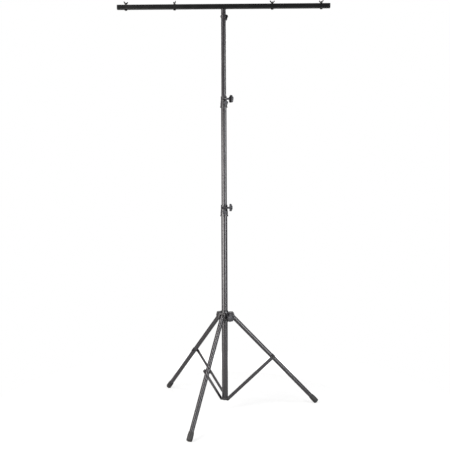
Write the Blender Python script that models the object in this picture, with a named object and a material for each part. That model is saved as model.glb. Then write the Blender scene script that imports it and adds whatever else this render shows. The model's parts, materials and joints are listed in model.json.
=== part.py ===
"""Telescopic light stand: a folding tripod, a mast of three tubes and a square crossbar for four lights.

Metres, +Z up. The origin is on the floor under the mast's axis. One leg points along +X,
and the other two stand 120 degrees round from it.
"""
import math

import bmesh
import bpy
from mathutils import Matrix, Vector

# Fits shared by the whole stand
FIT = 0.0003               # between two pieces that touch
TUBE_PLAY = 0.0005         # between telescoping tubes, on the radius
HOLE_PLAY = 0.0003         # around a screw or pin, on the radius

# Mast tubes
BASE_TUBE_D = 0.035
TUBE_WALL = 0.0015
BASE_TUBE_BOTTOM = 0.072
BASE_TUBE_LENGTH = 1.088
MID_TUBE_LENGTH = 1.050
MID_TUBE_OUT = 0.618       # height of the middle tube's top above the base tube's top
TOP_TUBE_LENGTH = 1.000
TOP_TUBE_OUT = 0.5115      # height of the top tube's top above the middle tube's top
TUBE_PLUG_HEIGHT = 0.010
TUBE_PLUG_SPIGOT = 0.015
TUBE_PLUG_WALL = 0.003

# Height clamps on the tops of the base tube and the middle tube
CLAMP_SEAT = 0.037         # depth of tube held in a clamp
CLAMP_WALL = 0.0032
CLAMP_STEP = 0.0010
CLAMP_STEP_HEIGHT = 0.009
CLAMP_LIP = 0.0020
CLAMP_LIP_HEIGHT = 0.006
NECK_WALL = 0.0019
BUSH_WALL = 0.0010
BUSH_FLANGE = 0.0015
LOWER_CLAMP_HEIGHT = 0.066
UPPER_CLAMP_HEIGHT = 0.064
LOWER_CLAMP_YAW = math.radians(-98.0)
UPPER_CLAMP_YAW = math.radians(-76.0)
CLAMP_EAR_REACH = 0.0090   # from the inside of the neck to the clamp screw
CLAMP_EAR_RADIUS = 0.0065
CLAMP_EAR_THICKNESS = 0.007
CLAMP_SPLIT = 0.002
CLAMP_SCREW_DROP = 0.016   # from the clamp's top to its screw
CLAMP_NUT_ACROSS = 0.013
CLAMP_NUT_HEIGHT = 0.0055
CLAMP_STUD_TAIL = 0.003    # stud end beyond the clamp nut
LOWER_LOCK_DROP = 0.0240   # from the clamp screw to the lock screw
UPPER_LOCK_DROP = 0.0225
LOCK_BOSS_D = 0.013
LOCK_BOSS_LENGTH = 0.0035

# Knobs and their studs
KNOB_D = 0.045
KNOB_LOBES = 5
KNOB_LOBE_DEPTH = 0.0026
KNOB_THICKNESS = 0.012
KNOB_DOME = 0.005
KNOB_DOME_RIM_R = 0.0124   # where the domed face meets its flat middle
KNOB_DOME_TOP_R = 0.0090
KNOB_WALL = 0.0035
KNOB_RECESS = 0.007
KNOB_STEM_D = 0.012
KNOB_STUD_D = 0.008
KNOB_STUD_HOLD = 0.014
CLAMP_STEM = 0.021
HUB_STEM = 0.016
BAR_STEM = 0.008
LOCK_KNOB_D = 0.027
LOCK_KNOB_THICKNESS = 0.009
LOCK_LOBE_DEPTH = 0.0018
LOCK_STEM_D = 0.010
LOCK_STEM = 0.003
LOCK_STUD_D = 0.006

# Leg hub, which slides on the base tube
HUB_PIVOT_Z = 0.5463
HUB_PIVOT_R = 0.043
HUB_BUSH_WALL = 0.0012
HUB_WALL = 0.0027
HUB_ABOVE_PIVOT = 0.0335
HUB_SHOULDER = 0.0190      # from the pivot up to where the sleeve starts to taper
HUB_NECK_WALL = 0.0010     # wall of the sleeve at its tapered top
HUB_COLLAR = 0.0060        # tapered collar of the bush, on top of the sleeve
HUB_COLLAR_WALL = 0.0008
HUB_BELOW_PIVOT = 0.0333
HOOD_ABOVE_PIVOT = 0.0222
HOOD_END_RADIUS = 0.0135
HOOD_PLAY = 0.00075
HOOD_WALL = 0.004
HUB_RIVET_D = 0.008
HUB_RIVET_HEAD_D = 0.014
HUB_RIVET_HEAD = 0.002
HUB_KNOB_YAW = math.radians(-60.0)
HUB_BOSS_D = 0.017
HUB_BOSS_LENGTH = 0.010
HUB_KNOB_DROP = 0.006

# Legs, with their rubber feet
LEG_COUNT = 3
LEG_D = 0.025
LEG_WALL = 0.0015
LEG_TILT = math.radians(43.6)
LEG_TOP_OVER = 0.011
FOOT_WALL = 0.003
FOOT_SOLE = 0.006
FOOT_LENGTH = 0.048
FOOT_ROUND = 0.005
FOOT_FLAT = 0.0015         # rubber pressed flat where the foot stands on the floor

# Strap on each leg, and the brace that it carries
STRAP_DISTANCE = 0.3477    # along the leg, from the hub's pivot
STRAP_WIDTH = 0.020
STRAP_THICKNESS = 0.002
STRAP_END = 0.010          # from the bolt to the strap's ends
STRAP_CORNER = 0.007
STRAP_BOSS_D = 0.013       # raised seat that keeps the brace away from the leg
STRAP_BOLT_D = 0.006
STRAP_BOLT_TAIL = 0.003
NUT_SMALL_ACROSS = 0.010
NUT_SMALL_HEIGHT = 0.005
BOLT_SMALL_HEAD = 0.004
BRACE_DEPTH = 0.020
BRACE_THICKNESS = 0.0025
BRACE_PASS = 0.001         # between a folded brace and the base tube
BRACE_FOOT_R = 0.012       # from the mast's axis to the lower pivot, along the leg's plane
BRACE_FOOT_DROP = 0.0095   # from the base tube's lower end to the lower pivot

# Casting under the base tube, which carries the braces' lower ends
CASTING_BELOW_TUBE = 0.018
CASTING_SPIGOT = 0.028
CASTING_EDGE = 0.002
CASTING_BOSS_R = 0.008
CASTING_NOTCH_IN = 0.0085  # how near to the leg's plane a pin's notch is cut
BRACE_PIN_IN = 0.0090      # and how near the pin comes
BRACE_PIN_D = 0.006
BRACE_PIN_HEAD_D = 0.011
BRACE_PIN_HEAD = 0.0025
PIN_MOUTH = 0.0015         # extra width of the pin's notch, towards the mast

# Crossbar with its spigot, bolts and wing nuts
BAR_LENGTH = 1.200
BAR_SIZE = 0.025
BAR_WALL = 0.0015
BAR_CORNER = 0.0025
BAR_YAW = math.radians(-11.65)
BAR_CAP_FLANGE = 0.005
BAR_CAP_PLUG = 0.012
BAR_CAP_PLAY = 0.0003
SPIGOT_LENGTH = 0.100
SPIGOT_WALL = 0.002
SPIGOT_FLANGE = 0.003
SPIGOT_FLANGE_RIM = 0.0010
BAR_KNOB_DROP = 0.0345     # from the top tube's top to the bar knob
BAR_KNOB_YAW = math.radians(72.0)
BAR_BOSS_D = 0.014
BAR_BOSS_LENGTH = 0.009
BOLT_POSITIONS = (-0.550, -0.275, 0.275, 0.550)
LIGHT_BOLT_D = 0.008
LIGHT_BOLT_HEAD_ACROSS = 0.013
LIGHT_BOLT_HEAD = 0.0055
LIGHT_BOLT_TAIL = 0.004    # bolt end above the wing nut's hub
WING_FLANGE_D = 0.017
WING_FLANGE = 0.0016
WING_HUB_D = 0.012
WING_HUB_HEIGHT = 0.007
WING_SPAN = 0.029
WING_HEIGHT = 0.018
WING_THICKNESS = 0.003
WING_TIP_WIDTH = 0.005
WING_TURNS = (36.0, -51.0, 8.0, -41.0)   # degrees that each nut stands turned from the bar's line

# How finely round forms are divided
TUBE_SIDES = 24
LEG_SIDES = 20
KNOB_SIDES = 20
BOLT_SIDES = 10
BOSS_SIDES = 16
STRAP_STEPS = 12
HEX_SIDES = 6
SMOOTH_ANGLE = math.radians(35.0)

# Values that follow from the ones above
BASE_R = BASE_TUBE_D / 2
MID_R = BASE_R - TUBE_WALL - TUBE_PLAY
TOP_R = MID_R - TUBE_WALL - TUBE_PLAY
SPIGOT_R = TOP_R - TUBE_WALL - FIT
LEG_R = LEG_D / 2
BRACE_FOOT_Z = BASE_TUBE_BOTTOM - BRACE_FOOT_DROP
STRAP_INSIDE = LEG_R + FIT
STRAP_OUTSIDE = STRAP_INSIDE + STRAP_THICKNESS

# A brace lies beside its leg, far enough out to pass the base tube when it folds
BRACE_NEAR = BASE_R + BRACE_PASS
BRACE_FAR = BRACE_NEAR + BRACE_THICKNESS

# The brace's upper pivot at rest, in the plane of a leg, gives the brace's length and tilt
BRACE_TOP_R = HUB_PIVOT_R + STRAP_DISTANCE * math.sin(LEG_TILT)
BRACE_TOP_Z = HUB_PIVOT_Z - STRAP_DISTANCE * math.cos(LEG_TILT)
BRACE_LENGTH = math.hypot(BRACE_TOP_R - BRACE_FOOT_R, BRACE_TOP_Z - BRACE_FOOT_Z)
BRACE_TILT = math.atan2(BRACE_TOP_R - BRACE_FOOT_R, BRACE_TOP_Z - BRACE_FOOT_Z)

# The leg is as long as it takes to press the foot's rounded rim on the floor
FOOT_R = LEG_R + FIT + FOOT_WALL
RIM_CENTRE_R = FOOT_R - FOOT_ROUND
RIM_CENTRE_Z = FOOT_ROUND - FOOT_FLAT
LEG_REACH = FOOT_ROUND + (HUB_PIVOT_Z - RIM_CENTRE_Z - RIM_CENTRE_R * math.sin(LEG_TILT)) / math.cos(LEG_TILT)


def clear_scene():
    for obj in list(bpy.data.objects):
        bpy.data.objects.remove(obj)


def make_material(name, colour, roughness, metallic):
    """A plain Principled finish, with its colour in linear values."""
    material = bpy.data.materials.new(name)
    material.use_nodes = True
    shader = material.node_tree.nodes["Principled BSDF"]
    shader.inputs["Base Color"].default_value = (*colour, 1.0)
    shader.inputs["Roughness"].default_value = roughness
    shader.inputs["Metallic"].default_value = metallic
    material.diffuse_color = (*colour, 1.0)
    return material


def make_object(name, bm, material=None):
    """Turn a bmesh into an object at the origin, with its faces pointing out."""
    bmesh.ops.recalc_face_normals(bm, faces=bm.faces)
    mesh = bpy.data.meshes.new(name)
    bm.to_mesh(mesh)
    bm.free()
    obj = bpy.data.objects.new(name, mesh)
    bpy.context.collection.objects.link(obj)
    if material:
        mesh.materials.append(material)
    return obj


def combine(obj, tool, operation):
    """Apply a Boolean of obj with tool, which is used up."""
    modifier = obj.modifiers.new("combine", "BOOLEAN")
    modifier.operation = operation
    modifier.solver = "EXACT"
    modifier.object = tool
    bpy.context.view_layer.update()
    evaluated = obj.evaluated_get(bpy.context.evaluated_depsgraph_get())
    result = bpy.data.meshes.new_from_object(evaluated)
    obj.modifiers.clear()
    used = obj.data
    obj.data = result
    bpy.data.meshes.remove(used)
    bpy.data.objects.remove(tool)
    return obj


def cut(obj, bm):
    return combine(obj, make_object("cutter", bm), "DIFFERENCE")


def add(obj, bm):
    return combine(obj, make_object("addition", bm), "UNION")


def place(obj, parent=None, location=(0.0, 0.0, 0.0), rotation=(0.0, 0.0, 0.0)):
    """Put a finished piece where it belongs, shaded smooth except at its edges."""
    obj.parent = parent
    obj.location = location
    obj.rotation_euler = rotation
    obj.data.shade_smooth()
    obj.data.set_sharp_from_angle(angle=SMOOTH_ANGLE)
    return obj


def turned(profile, sides, lobes=0, ring=False):
    """Turn a profile about Z. Its points are (radius, height), or (radius, height, lobe depth).

    A ring joins its last point to its first. Any other profile is closed at both ends by flat caps.
    """
    bm = bmesh.new()
    loops = []
    for point in profile:
        depth = point[2] if len(point) > 2 else 0.0
        loop = []
        for side in range(sides):
            angle = math.tau * side / sides
            radius = point[0] + depth * (math.cos(lobes * angle) - 1.0)
            loop.append(bm.verts.new((radius * math.cos(angle), radius * math.sin(angle), point[1])))
        loops.append(loop)
    pairs = list(zip(loops, loops[1:]))
    if ring:
        pairs.append((loops[-1], loops[0]))
    else:
        bm.faces.new(loops[0])
        bm.faces.new(loops[-1])
    for first, second in pairs:
        for side in range(sides):
            after = (side + 1) % sides
            bm.faces.new((first[side], first[after], second[after], second[side]))
    return bm


def extruded(outline, direction):
    """Extrude a closed outline of 3D points along a direction."""
    bm = bmesh.new()
    face = bm.faces.new([bm.verts.new(point) for point in outline])
    grown = bmesh.ops.extrude_face_region(bm, geom=[face])
    moved = [item for item in grown["geom"] if isinstance(item, bmesh.types.BMVert)]
    bmesh.ops.translate(bm, verts=moved, vec=direction)
    return bm


def across(outline, half_width):
    """Extrude an outline of (x, z) points across Y, by half_width to each side."""
    return extruded([(x, -half_width, z) for x, z in outline], (0.0, 2 * half_width, 0.0))


def block(low, high):
    """A box between two corners."""
    outline = [(low[0], low[2]), (high[0], low[2]), (high[0], high[2]), (low[0], high[2])]
    bm = across(outline, (high[1] - low[1]) / 2)
    bmesh.ops.translate(bm, verts=bm.verts, vec=(0.0, (high[1] + low[1]) / 2, 0.0))
    return bm


def arc(centre, radius, start, end, steps):
    """Points on an arc, with its angles in degrees."""
    points = []
    for step in range(steps + 1):
        angle = math.radians(start + (end - start) * step / steps)
        points.append((centre[0] + radius * math.cos(angle), centre[1] + radius * math.sin(angle)))
    return points


def aim(direction, start=(0.0, 0.0, 0.0)):
    """A matrix that turns +Z to a direction and moves the origin to a start point."""
    turn = Vector((0.0, 0.0, 1.0)).rotation_difference(Vector(direction)).to_matrix().to_4x4()
    return Matrix.Translation(start) @ turn


def rod(radius, start, end, sides=BOLT_SIDES):
    """A round bar between two points."""
    run = Vector(end) - Vector(start)
    bm = turned([(radius, 0.0), (radius, run.length)], sides)
    bmesh.ops.transform(bm, matrix=aim(run, start), verts=bm.verts)
    return bm


def across_flats(width):
    """Corner radius of a hexagon of a given width across its flats."""
    return width / 2 / math.cos(math.pi / HEX_SIDES)


def tube(name, radius, wall, length, sides, material):
    """A round tube standing on the origin."""
    inside = radius - wall
    profile = [(inside, 0.0), (radius, 0.0), (radius, length), (inside, length)]
    return make_object(name, turned(profile, sides, ring=True), material)


def tube_plug(name, outer_tube_inside, tube_r, material):
    """Plastic guide pressed in the lower end of a sliding tube, with its head below the tube."""
    head = outer_tube_inside - FIT
    spigot = tube_r - TUBE_WALL - FIT
    bore = spigot - TUBE_PLUG_WALL
    profile = [
        (bore, -TUBE_PLUG_HEIGHT - FIT),
        (head, -TUBE_PLUG_HEIGHT - FIT),
        (head, -FIT),
        (spigot, -FIT),
        (spigot, TUBE_PLUG_SPIGOT),
        (bore, TUBE_PLUG_SPIGOT),
    ]
    return make_object(name, turned(profile, TUBE_SIDES, ring=True), material)


def clamp_bush_radii(inner_tube_r):
    inside = inner_tube_r + FIT
    return inside, inside + BUSH_WALL


def clamp(prefix, height, lock_drop, outer_tube_r, inner_tube_r, materials):
    """Casting round a tube's top end, whose split neck grips the tube that slides inside.

    Its ears point along +X and its screw runs along Y. It returns the casting, its bush and its nut.
    """
    seat = outer_tube_r + FIT
    body = seat + CLAMP_WALL
    bush_in, bush_out = clamp_bush_radii(inner_tube_r)
    neck_in = bush_out + FIT
    neck = neck_in + NECK_WALL
    top = height - BUSH_FLANGE - FIT
    step = CLAMP_SEAT - FIT
    lip = body + CLAMP_LIP
    profile = [
        (seat, 0.0),
        (lip, 0.0),
        (lip, CLAMP_LIP_HEIGHT),
        (body, CLAMP_LIP_HEIGHT + CLAMP_LIP),
        (body, step - CLAMP_STEP_HEIGHT),
        (body - CLAMP_STEP, step - CLAMP_STEP_HEIGHT + CLAMP_STEP),
        (body - CLAMP_STEP, step),
        (neck, step + CLAMP_STEP),
        (neck, top),
        (neck_in, top),
        (neck_in, CLAMP_SEAT + FIT),
        (seat, CLAMP_SEAT + FIT),
    ]
    casting = make_object(prefix + "_clamp", turned(profile, TUBE_SIDES, ring=True), materials["coat"])
    screw_x = neck_in + CLAMP_EAR_REACH
    screw_z = height - CLAMP_SCREW_DROP
    ear_y = CLAMP_SPLIT / 2 + CLAMP_EAR_THICKNESS
    root = (neck_in + neck) / 2
    ears = arc((screw_x, screw_z), CLAMP_EAR_RADIUS, 90, -90, 8)
    ears += [(root, screw_z - CLAMP_EAR_RADIUS), (root, screw_z + CLAMP_EAR_RADIUS)]
    add(casting, across(ears, ear_y))
    lock_z = screw_z - lock_drop
    boss_end = body + LOCK_BOSS_LENGTH
    add(casting, rod(LOCK_BOSS_D / 2, ((seat + body) / 2, 0.0, lock_z), (boss_end, 0.0, lock_z), BOSS_SIDES))
    over = screw_x + KNOB_D
    split_z = CLAMP_SEAT + CLAMP_STEP + FIT
    cut(casting, block((0.0, -CLAMP_SPLIT / 2, split_z), (over, CLAMP_SPLIT / 2, height)))
    screw_hole = KNOB_STUD_D / 2 + HOLE_PLAY
    cut(casting, rod(screw_hole, (screw_x, -over, screw_z), (screw_x, over, screw_z)))
    lock_hole = LOCK_STUD_D / 2 + HOLE_PLAY
    cut(casting, rod(lock_hole, (0.0, 0.0, lock_z), (over, 0.0, lock_z)))

    flange = neck - FIT
    bush_profile = [
        (bush_in, CLAMP_SEAT + 2 * FIT),
        (bush_out, CLAMP_SEAT + 2 * FIT),
        (bush_out, top + FIT),
        (flange, top + FIT),
        (flange, height),
        (bush_in, height),
    ]
    bush_shape = turned(bush_profile, TUBE_SIDES, ring=True)
    bush = make_object(prefix + "_clamp_bush", bush_shape, materials["plastic"])

    nut = nut_shape(CLAMP_NUT_ACROSS, CLAMP_NUT_HEIGHT, KNOB_STUD_D)
    nut_seat = aim((0.0, -1.0, 0.0), (screw_x, -ear_y - FIT, screw_z))
    bmesh.ops.transform(nut, matrix=nut_seat, verts=nut.verts)
    nut = make_object(prefix + "_clamp_nut", nut, materials["steel"])
    return casting, bush, nut


def nut_shape(width, height, thread_d):
    """A hexagon nut on +Z, with a round bore."""
    bore = thread_d / 2 + HOLE_PLAY
    bm = turned([(across_flats(width), 0.0), (across_flats(width), height)], HEX_SIDES)
    body = make_object("nut", bm)
    cut(body, rod(bore, (0.0, 0.0, -height), (0.0, 0.0, 2 * height)))
    result = bmesh.new()
    result.from_mesh(body.data)
    bpy.data.objects.remove(body)
    return result


def star_knob(name, stem, materials):
    """Hand knob with a hollow back, on a stem that stands on the origin along +Z."""
    outer = KNOB_D / 2
    stud_hole = KNOB_STUD_D / 2 + HOLE_PLAY
    front = stem + KNOB_THICKNESS
    inner = outer - KNOB_WALL
    profile = [
        (stud_hole, KNOB_STUD_HOLD + FIT),
        (stud_hole, FIT),
        (KNOB_STEM_D / 2, FIT),
        (KNOB_STEM_D / 2, stem + KNOB_RECESS),
        (inner, stem + KNOB_RECESS, KNOB_LOBE_DEPTH),
        (inner, stem, KNOB_LOBE_DEPTH),
        (outer - KNOB_DOME / 5, stem, KNOB_LOBE_DEPTH),
        (outer, stem + KNOB_DOME / 5, KNOB_LOBE_DEPTH),
        (outer, front - KNOB_DOME / 2, KNOB_LOBE_DEPTH),
        (outer - KNOB_DOME / 2, front, KNOB_LOBE_DEPTH),
        (KNOB_DOME_RIM_R, front + KNOB_DOME / 2, KNOB_LOBE_DEPTH / 4),
        (KNOB_DOME_TOP_R, front + KNOB_DOME),
    ]
    return make_object(name, turned(profile, KNOB_SIDES, lobes=KNOB_LOBES), materials["plastic"])


def stud(name, radius, low, high, material):
    """Threaded stud along Z, drawn plain."""
    return make_object(name, turned([(radius, low), (radius, high)], BOLT_SIDES), material)


def knob_and_stud(prefix, stem, reach, parent, location, direction, materials):
    """A star knob whose stem stands on location, and its stud that reaches back into the stand."""
    rotation = aim(direction).to_euler()
    knob = place(star_knob(prefix + "_knob", stem, materials), parent, location, rotation)
    screw = stud(prefix + "_screw", KNOB_STUD_D / 2, -reach, KNOB_STUD_HOLD, materials["steel"])
    place(screw, knob)
    return knob


def lock_knob(name, reach, materials):
    """Small lobed knob moulded on its stud, along +Z, with its seat at the origin."""
    outer = LOCK_KNOB_D / 2
    top = FIT + LOCK_STEM + LOCK_KNOB_THICKNESS
    edge = LOCK_KNOB_THICKNESS / 5
    profile = [
        (LOCK_STUD_D / 2, -reach),
        (LOCK_STUD_D / 2, FIT),
        (LOCK_STEM_D / 2, FIT),
        (LOCK_STEM_D / 2, FIT + LOCK_STEM),
        (outer - edge, FIT + LOCK_STEM, LOCK_LOBE_DEPTH),
        (outer, FIT + LOCK_STEM + edge, LOCK_LOBE_DEPTH),
        (outer, top - edge, LOCK_LOBE_DEPTH),
        (outer - edge, top, LOCK_LOBE_DEPTH),
    ]
    return make_object(name, turned(profile, KNOB_SIDES, lobes=KNOB_LOBES), materials["plastic"])


def fit_clamp(prefix, bottom, yaw, height, lock_drop, outer_tube_r, inner_tube_r, parent, materials):
    """Place a clamp with its bush, nut, clamp knob and lock knob on the end of a tube."""
    pieces = clamp(prefix, height, lock_drop, outer_tube_r, inner_tube_r, materials)
    casting = place(pieces[0], parent, (0.0, 0.0, bottom), (0.0, 0.0, yaw))
    for piece in pieces[1:]:
        place(piece, casting)
    screw_x = clamp_bush_radii(inner_tube_r)[1] + FIT + CLAMP_EAR_REACH
    screw_z = height - CLAMP_SCREW_DROP
    ear_y = CLAMP_SPLIT / 2 + CLAMP_EAR_THICKNESS
    tail = 2 * ear_y + FIT + CLAMP_NUT_HEIGHT + CLAMP_STUD_TAIL
    seat = (screw_x, ear_y, screw_z)
    knob_and_stud(prefix + "_clamp", CLAMP_STEM, tail, casting, seat, (0.0, 1.0, 0.0), materials)
    seat_x = outer_tube_r + FIT + CLAMP_WALL + LOCK_BOSS_LENGTH
    reach = seat_x - inner_tube_r - FIT
    knob = lock_knob(prefix + "_lock_knob", reach, materials)
    place(knob, casting, (seat_x, 0.0, screw_z - lock_drop), aim((1.0, 0.0, 0.0)).to_euler())
    return casting


def lock_hole(tube_piece, yaw, height):
    """Hole in one wall of a tube, where a lock screw passes."""
    reach = BASE_TUBE_D
    end = (reach * math.cos(yaw), reach * math.sin(yaw), height)
    return cut(tube_piece, rod(LOCK_STUD_D / 2 + HOLE_PLAY, (0.0, 0.0, height), end))


def hub_radii():
    """Inside and outside of the hub's bush, then of its sleeve."""
    bush_in = BASE_R + FIT
    bush_out = bush_in + HUB_BUSH_WALL
    return bush_in, bush_out, bush_out + FIT, bush_out + FIT + HUB_WALL


def hub(base, materials):
    """Casting that slides on the base tube, with a hood for each leg's upper end."""
    bush_in, bush_out, sleeve_in, sleeve = hub_radii()
    top = HUB_ABOVE_PIVOT - HUB_COLLAR - FIT
    low = -HUB_BELOW_PIVOT
    neck = sleeve_in + HUB_NECK_WALL
    sleeve_profile = [(sleeve_in, low), (sleeve, low), (sleeve, HUB_SHOULDER), (neck, top), (sleeve_in, top)]
    casting = make_object("hub_casting", turned(sleeve_profile, TUBE_SIDES, ring=True), materials["coat"])
    slot = LEG_R + HOOD_PLAY
    hood = slot + HOOD_WALL
    root = (sleeve_in + sleeve) / 2
    outline = [(root, HOOD_ABOVE_PIVOT), (HUB_PIVOT_R + HOOD_END_RADIUS / 2, HOOD_ABOVE_PIVOT)]
    outline += arc((HUB_PIVOT_R, 0.0), HOOD_END_RADIUS, 20, -90, 7)
    outline += [(root, -HOOD_END_RADIUS - HOOD_WALL)]
    slot_outer = HUB_PIVOT_R + 2 * HOOD_END_RADIUS
    slot_low = -HUB_BELOW_PIVOT - FIT
    boss_start = (root * math.cos(HUB_KNOB_YAW), root * math.sin(HUB_KNOB_YAW), -HUB_KNOB_DROP)
    boss_r = sleeve + HUB_BOSS_LENGTH
    boss_end = (boss_r * math.cos(HUB_KNOB_YAW), boss_r * math.sin(HUB_KNOB_YAW), -HUB_KNOB_DROP)
    for index in range(LEG_COUNT):
        turn = Matrix.Rotation(math.tau * index / LEG_COUNT, 4, "Z")
        shape = across(outline, hood)
        bmesh.ops.transform(shape, matrix=turn, verts=shape.verts)
        add(casting, shape)
        space = block((sleeve, -slot, slot_low), (slot_outer, slot, HOOD_ABOVE_PIVOT - HOOD_WALL))
        bmesh.ops.transform(space, matrix=turn, verts=space.verts)
        cut(casting, space)
        hole = rod(HUB_RIVET_D / 2 + HOLE_PLAY, (HUB_PIVOT_R, -2 * hood, 0.0), (HUB_PIVOT_R, 2 * hood, 0.0))
        bmesh.ops.transform(hole, matrix=turn, verts=hole.verts)
        cut(casting, hole)
    add(casting, rod(HUB_BOSS_D / 2, boss_start, boss_end, BOSS_SIDES))
    beyond = (2 * boss_end[0], 2 * boss_end[1], -HUB_KNOB_DROP)
    cut(casting, rod(KNOB_STUD_D / 2 + HOLE_PLAY, (0.0, 0.0, -HUB_KNOB_DROP), beyond))
    place(casting, base, (0.0, 0.0, HUB_PIVOT_Z - base.location.z))

    bush_profile = [
        (bush_in, low),
        (bush_out, low),
        (bush_out, top + FIT),
        (neck - FIT, top + FIT),
        (bush_in + HUB_COLLAR_WALL, HUB_ABOVE_PIVOT),
        (bush_in, HUB_ABOVE_PIVOT),
    ]
    bush = make_object("hub_bush", turned(bush_profile, TUBE_SIDES, ring=True), materials["plastic"])
    place(cut(bush, rod(KNOB_STUD_D / 2 + HOLE_PLAY, (0.0, 0.0, -HUB_KNOB_DROP), beyond)), casting)

    for number in range(1, LEG_COUNT + 1):
        angle = leg_angle(number)
        pin = rivet(HUB_RIVET_D / 2, HUB_RIVET_HEAD_D / 2, HUB_RIVET_HEAD, hood)
        pin = make_object("hub_pivot_pin_%d" % number, pin, materials["steel"])
        across_leg = aim((-math.sin(angle), math.cos(angle), 0.0)).to_euler()
        place(pin, casting, (HUB_PIVOT_R * math.cos(angle), HUB_PIVOT_R * math.sin(angle), 0.0), across_leg)

    reach = boss_r - BASE_R - FIT
    outward = (math.cos(HUB_KNOB_YAW), math.sin(HUB_KNOB_YAW), 0.0)
    knob_and_stud("hub", HUB_STEM, reach, casting, boss_end, outward, materials)
    return casting


def rivet(radius, head_radius, head, half_grip):
    """Headed pin along Z, centred on the origin, with a head at each end."""
    seat = half_grip + FIT
    profile = [
        (head_radius * 0.75, -seat - head),
        (head_radius, -seat - head / 2),
        (head_radius, -seat),
        (radius, -seat),
        (radius, seat),
        (head_radius, seat),
        (head_radius, seat + head / 2),
        (head_radius * 0.75, seat + head),
    ]
    return turned(profile, BOLT_SIDES)


def rubber_foot(name, material):
    """Rubber cup on a leg's lower end, flat where it stands on the floor. In the leg's own axes."""
    inside = LEG_R + FIT
    sole = -LEG_REACH
    edge = FOOT_WALL / 3
    profile = [(inside, sole + FOOT_LENGTH), (inside, sole + FOOT_SOLE)]
    bottom = arc((RIM_CENTRE_R, sole + FOOT_ROUND), FOOT_ROUND, -90, 0, 4)
    outer = bottom + [(FOOT_R, sole + FOOT_LENGTH - edge), (FOOT_R - edge, sole + FOOT_LENGTH)]
    bm = turned([profile[1], profile[0]] + outer[::-1], LEG_SIDES)
    normal = Vector((math.sin(LEG_TILT), 0.0, math.cos(LEG_TILT)))
    everything = list(bm.verts) + list(bm.edges) + list(bm.faces)
    below = -HUB_PIVOT_Z * normal
    bmesh.ops.bisect_plane(bm, geom=everything, plane_co=below, plane_no=normal, clear_inner=True)
    bmesh.ops.holes_fill(bm, edges=[side for side in bm.edges if side.is_boundary])
    return make_object(name, bm, material)


def leg_strap(name, material):
    """Strap bent over the leg's outer side and bolted through it, with a raised seat for the brace."""
    outside = arc((0.0, 0.0), STRAP_OUTSIDE, 90, -90, STRAP_STEPS)
    inside = arc((0.0, 0.0), STRAP_INSIDE, -90, 90, STRAP_STEPS)
    outline = outside + [(-STRAP_END, -STRAP_OUTSIDE), (-STRAP_END, -STRAP_INSIDE)] + inside
    outline += [(-STRAP_END, STRAP_INSIDE), (-STRAP_END, STRAP_OUTSIDE)]
    bottom = -STRAP_DISTANCE - STRAP_WIDTH / 2
    bm = extruded([(x, y, bottom) for x, y in outline], (0.0, 0.0, STRAP_WIDTH))
    corners = []
    for edge in bm.edges:
        first, second = (vert.co for vert in edge.verts)
        if max(first.x, second.x) < FIT - STRAP_END and abs(first.z - second.z) < FIT:
            corners.append(edge)
    bmesh.ops.bevel(bm, geom=corners, offset=STRAP_CORNER, segments=4, affect="EDGES", profile=0.5)
    strap = make_object(name, bm, material)
    root = -(STRAP_INSIDE + STRAP_OUTSIDE) / 2
    seat = FIT - BRACE_NEAR
    add(strap, rod(STRAP_BOSS_D / 2, (0.0, root, -STRAP_DISTANCE), (0.0, seat, -STRAP_DISTANCE), BOSS_SIDES))
    return cut(strap, strap_hole())


def strap_hole():
    """The bolt's hole through leg, strap and brace, in the leg's own axes."""
    side = 2 * BRACE_FAR
    return rod(STRAP_BOLT_D / 2 + HOLE_PLAY, (0.0, -side, -STRAP_DISTANCE), (0.0, side, -STRAP_DISTANCE))


def strap_bolt_shape():
    """Hexagon bolt along +Z, with the underside of its head on the origin and its shank below."""
    grip = BRACE_FAR + FIT + STRAP_OUTSIDE + FIT + NUT_SMALL_HEIGHT + STRAP_BOLT_TAIL
    head = make_object("head", turned([(across_flats(NUT_SMALL_ACROSS), 0.0),
                                       (across_flats(NUT_SMALL_ACROSS), BOLT_SMALL_HEAD)], HEX_SIDES))
    add(head, rod(STRAP_BOLT_D / 2, (0.0, 0.0, -grip), (0.0, 0.0, BOLT_SMALL_HEAD / 2)))
    bm = bmesh.new()
    bm.from_mesh(head.data)
    bpy.data.objects.remove(head)
    return bm


def flat_brace(name, material):
    """Flat bar with round ends. Its upper pivot is the origin and it hangs down -Z, beside the leg."""
    half = BRACE_DEPTH / 2
    outline = arc((0.0, 0.0), half, 0, 180, 8) + arc((0.0, -BRACE_LENGTH), half, 180, 360, 8)
    bm = extruded([(x, -BRACE_FAR, z) for x, z in outline], (0.0, BRACE_THICKNESS, 0.0))
    bar = make_object(name, bm, material)
    side = 2 * BRACE_FAR
    cut(bar, rod(STRAP_BOLT_D / 2 + HOLE_PLAY, (0.0, -side, 0.0), (0.0, side, 0.0)))
    foot_hole = BRACE_PIN_D / 2 + HOLE_PLAY
    return cut(bar, rod(foot_hole, (0.0, -side, -BRACE_LENGTH), (0.0, side, -BRACE_LENGTH)))


def brace_pin_shape():
    """Headed pin along +Z, which starts in the casting's notch and has its head outside the brace."""
    seat = BRACE_FAR + FIT
    head_r = BRACE_PIN_HEAD_D / 2
    profile = [
        (BRACE_PIN_D / 2, BRACE_PIN_IN),
        (BRACE_PIN_D / 2, seat),
        (head_r, seat),
        (head_r, seat + BRACE_PIN_HEAD / 2),
        (head_r * 0.75, seat + BRACE_PIN_HEAD),
    ]
    return turned(profile, BOLT_SIDES)


def leg_angle(number):
    return math.tau * (number - 1) / LEG_COUNT


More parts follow.
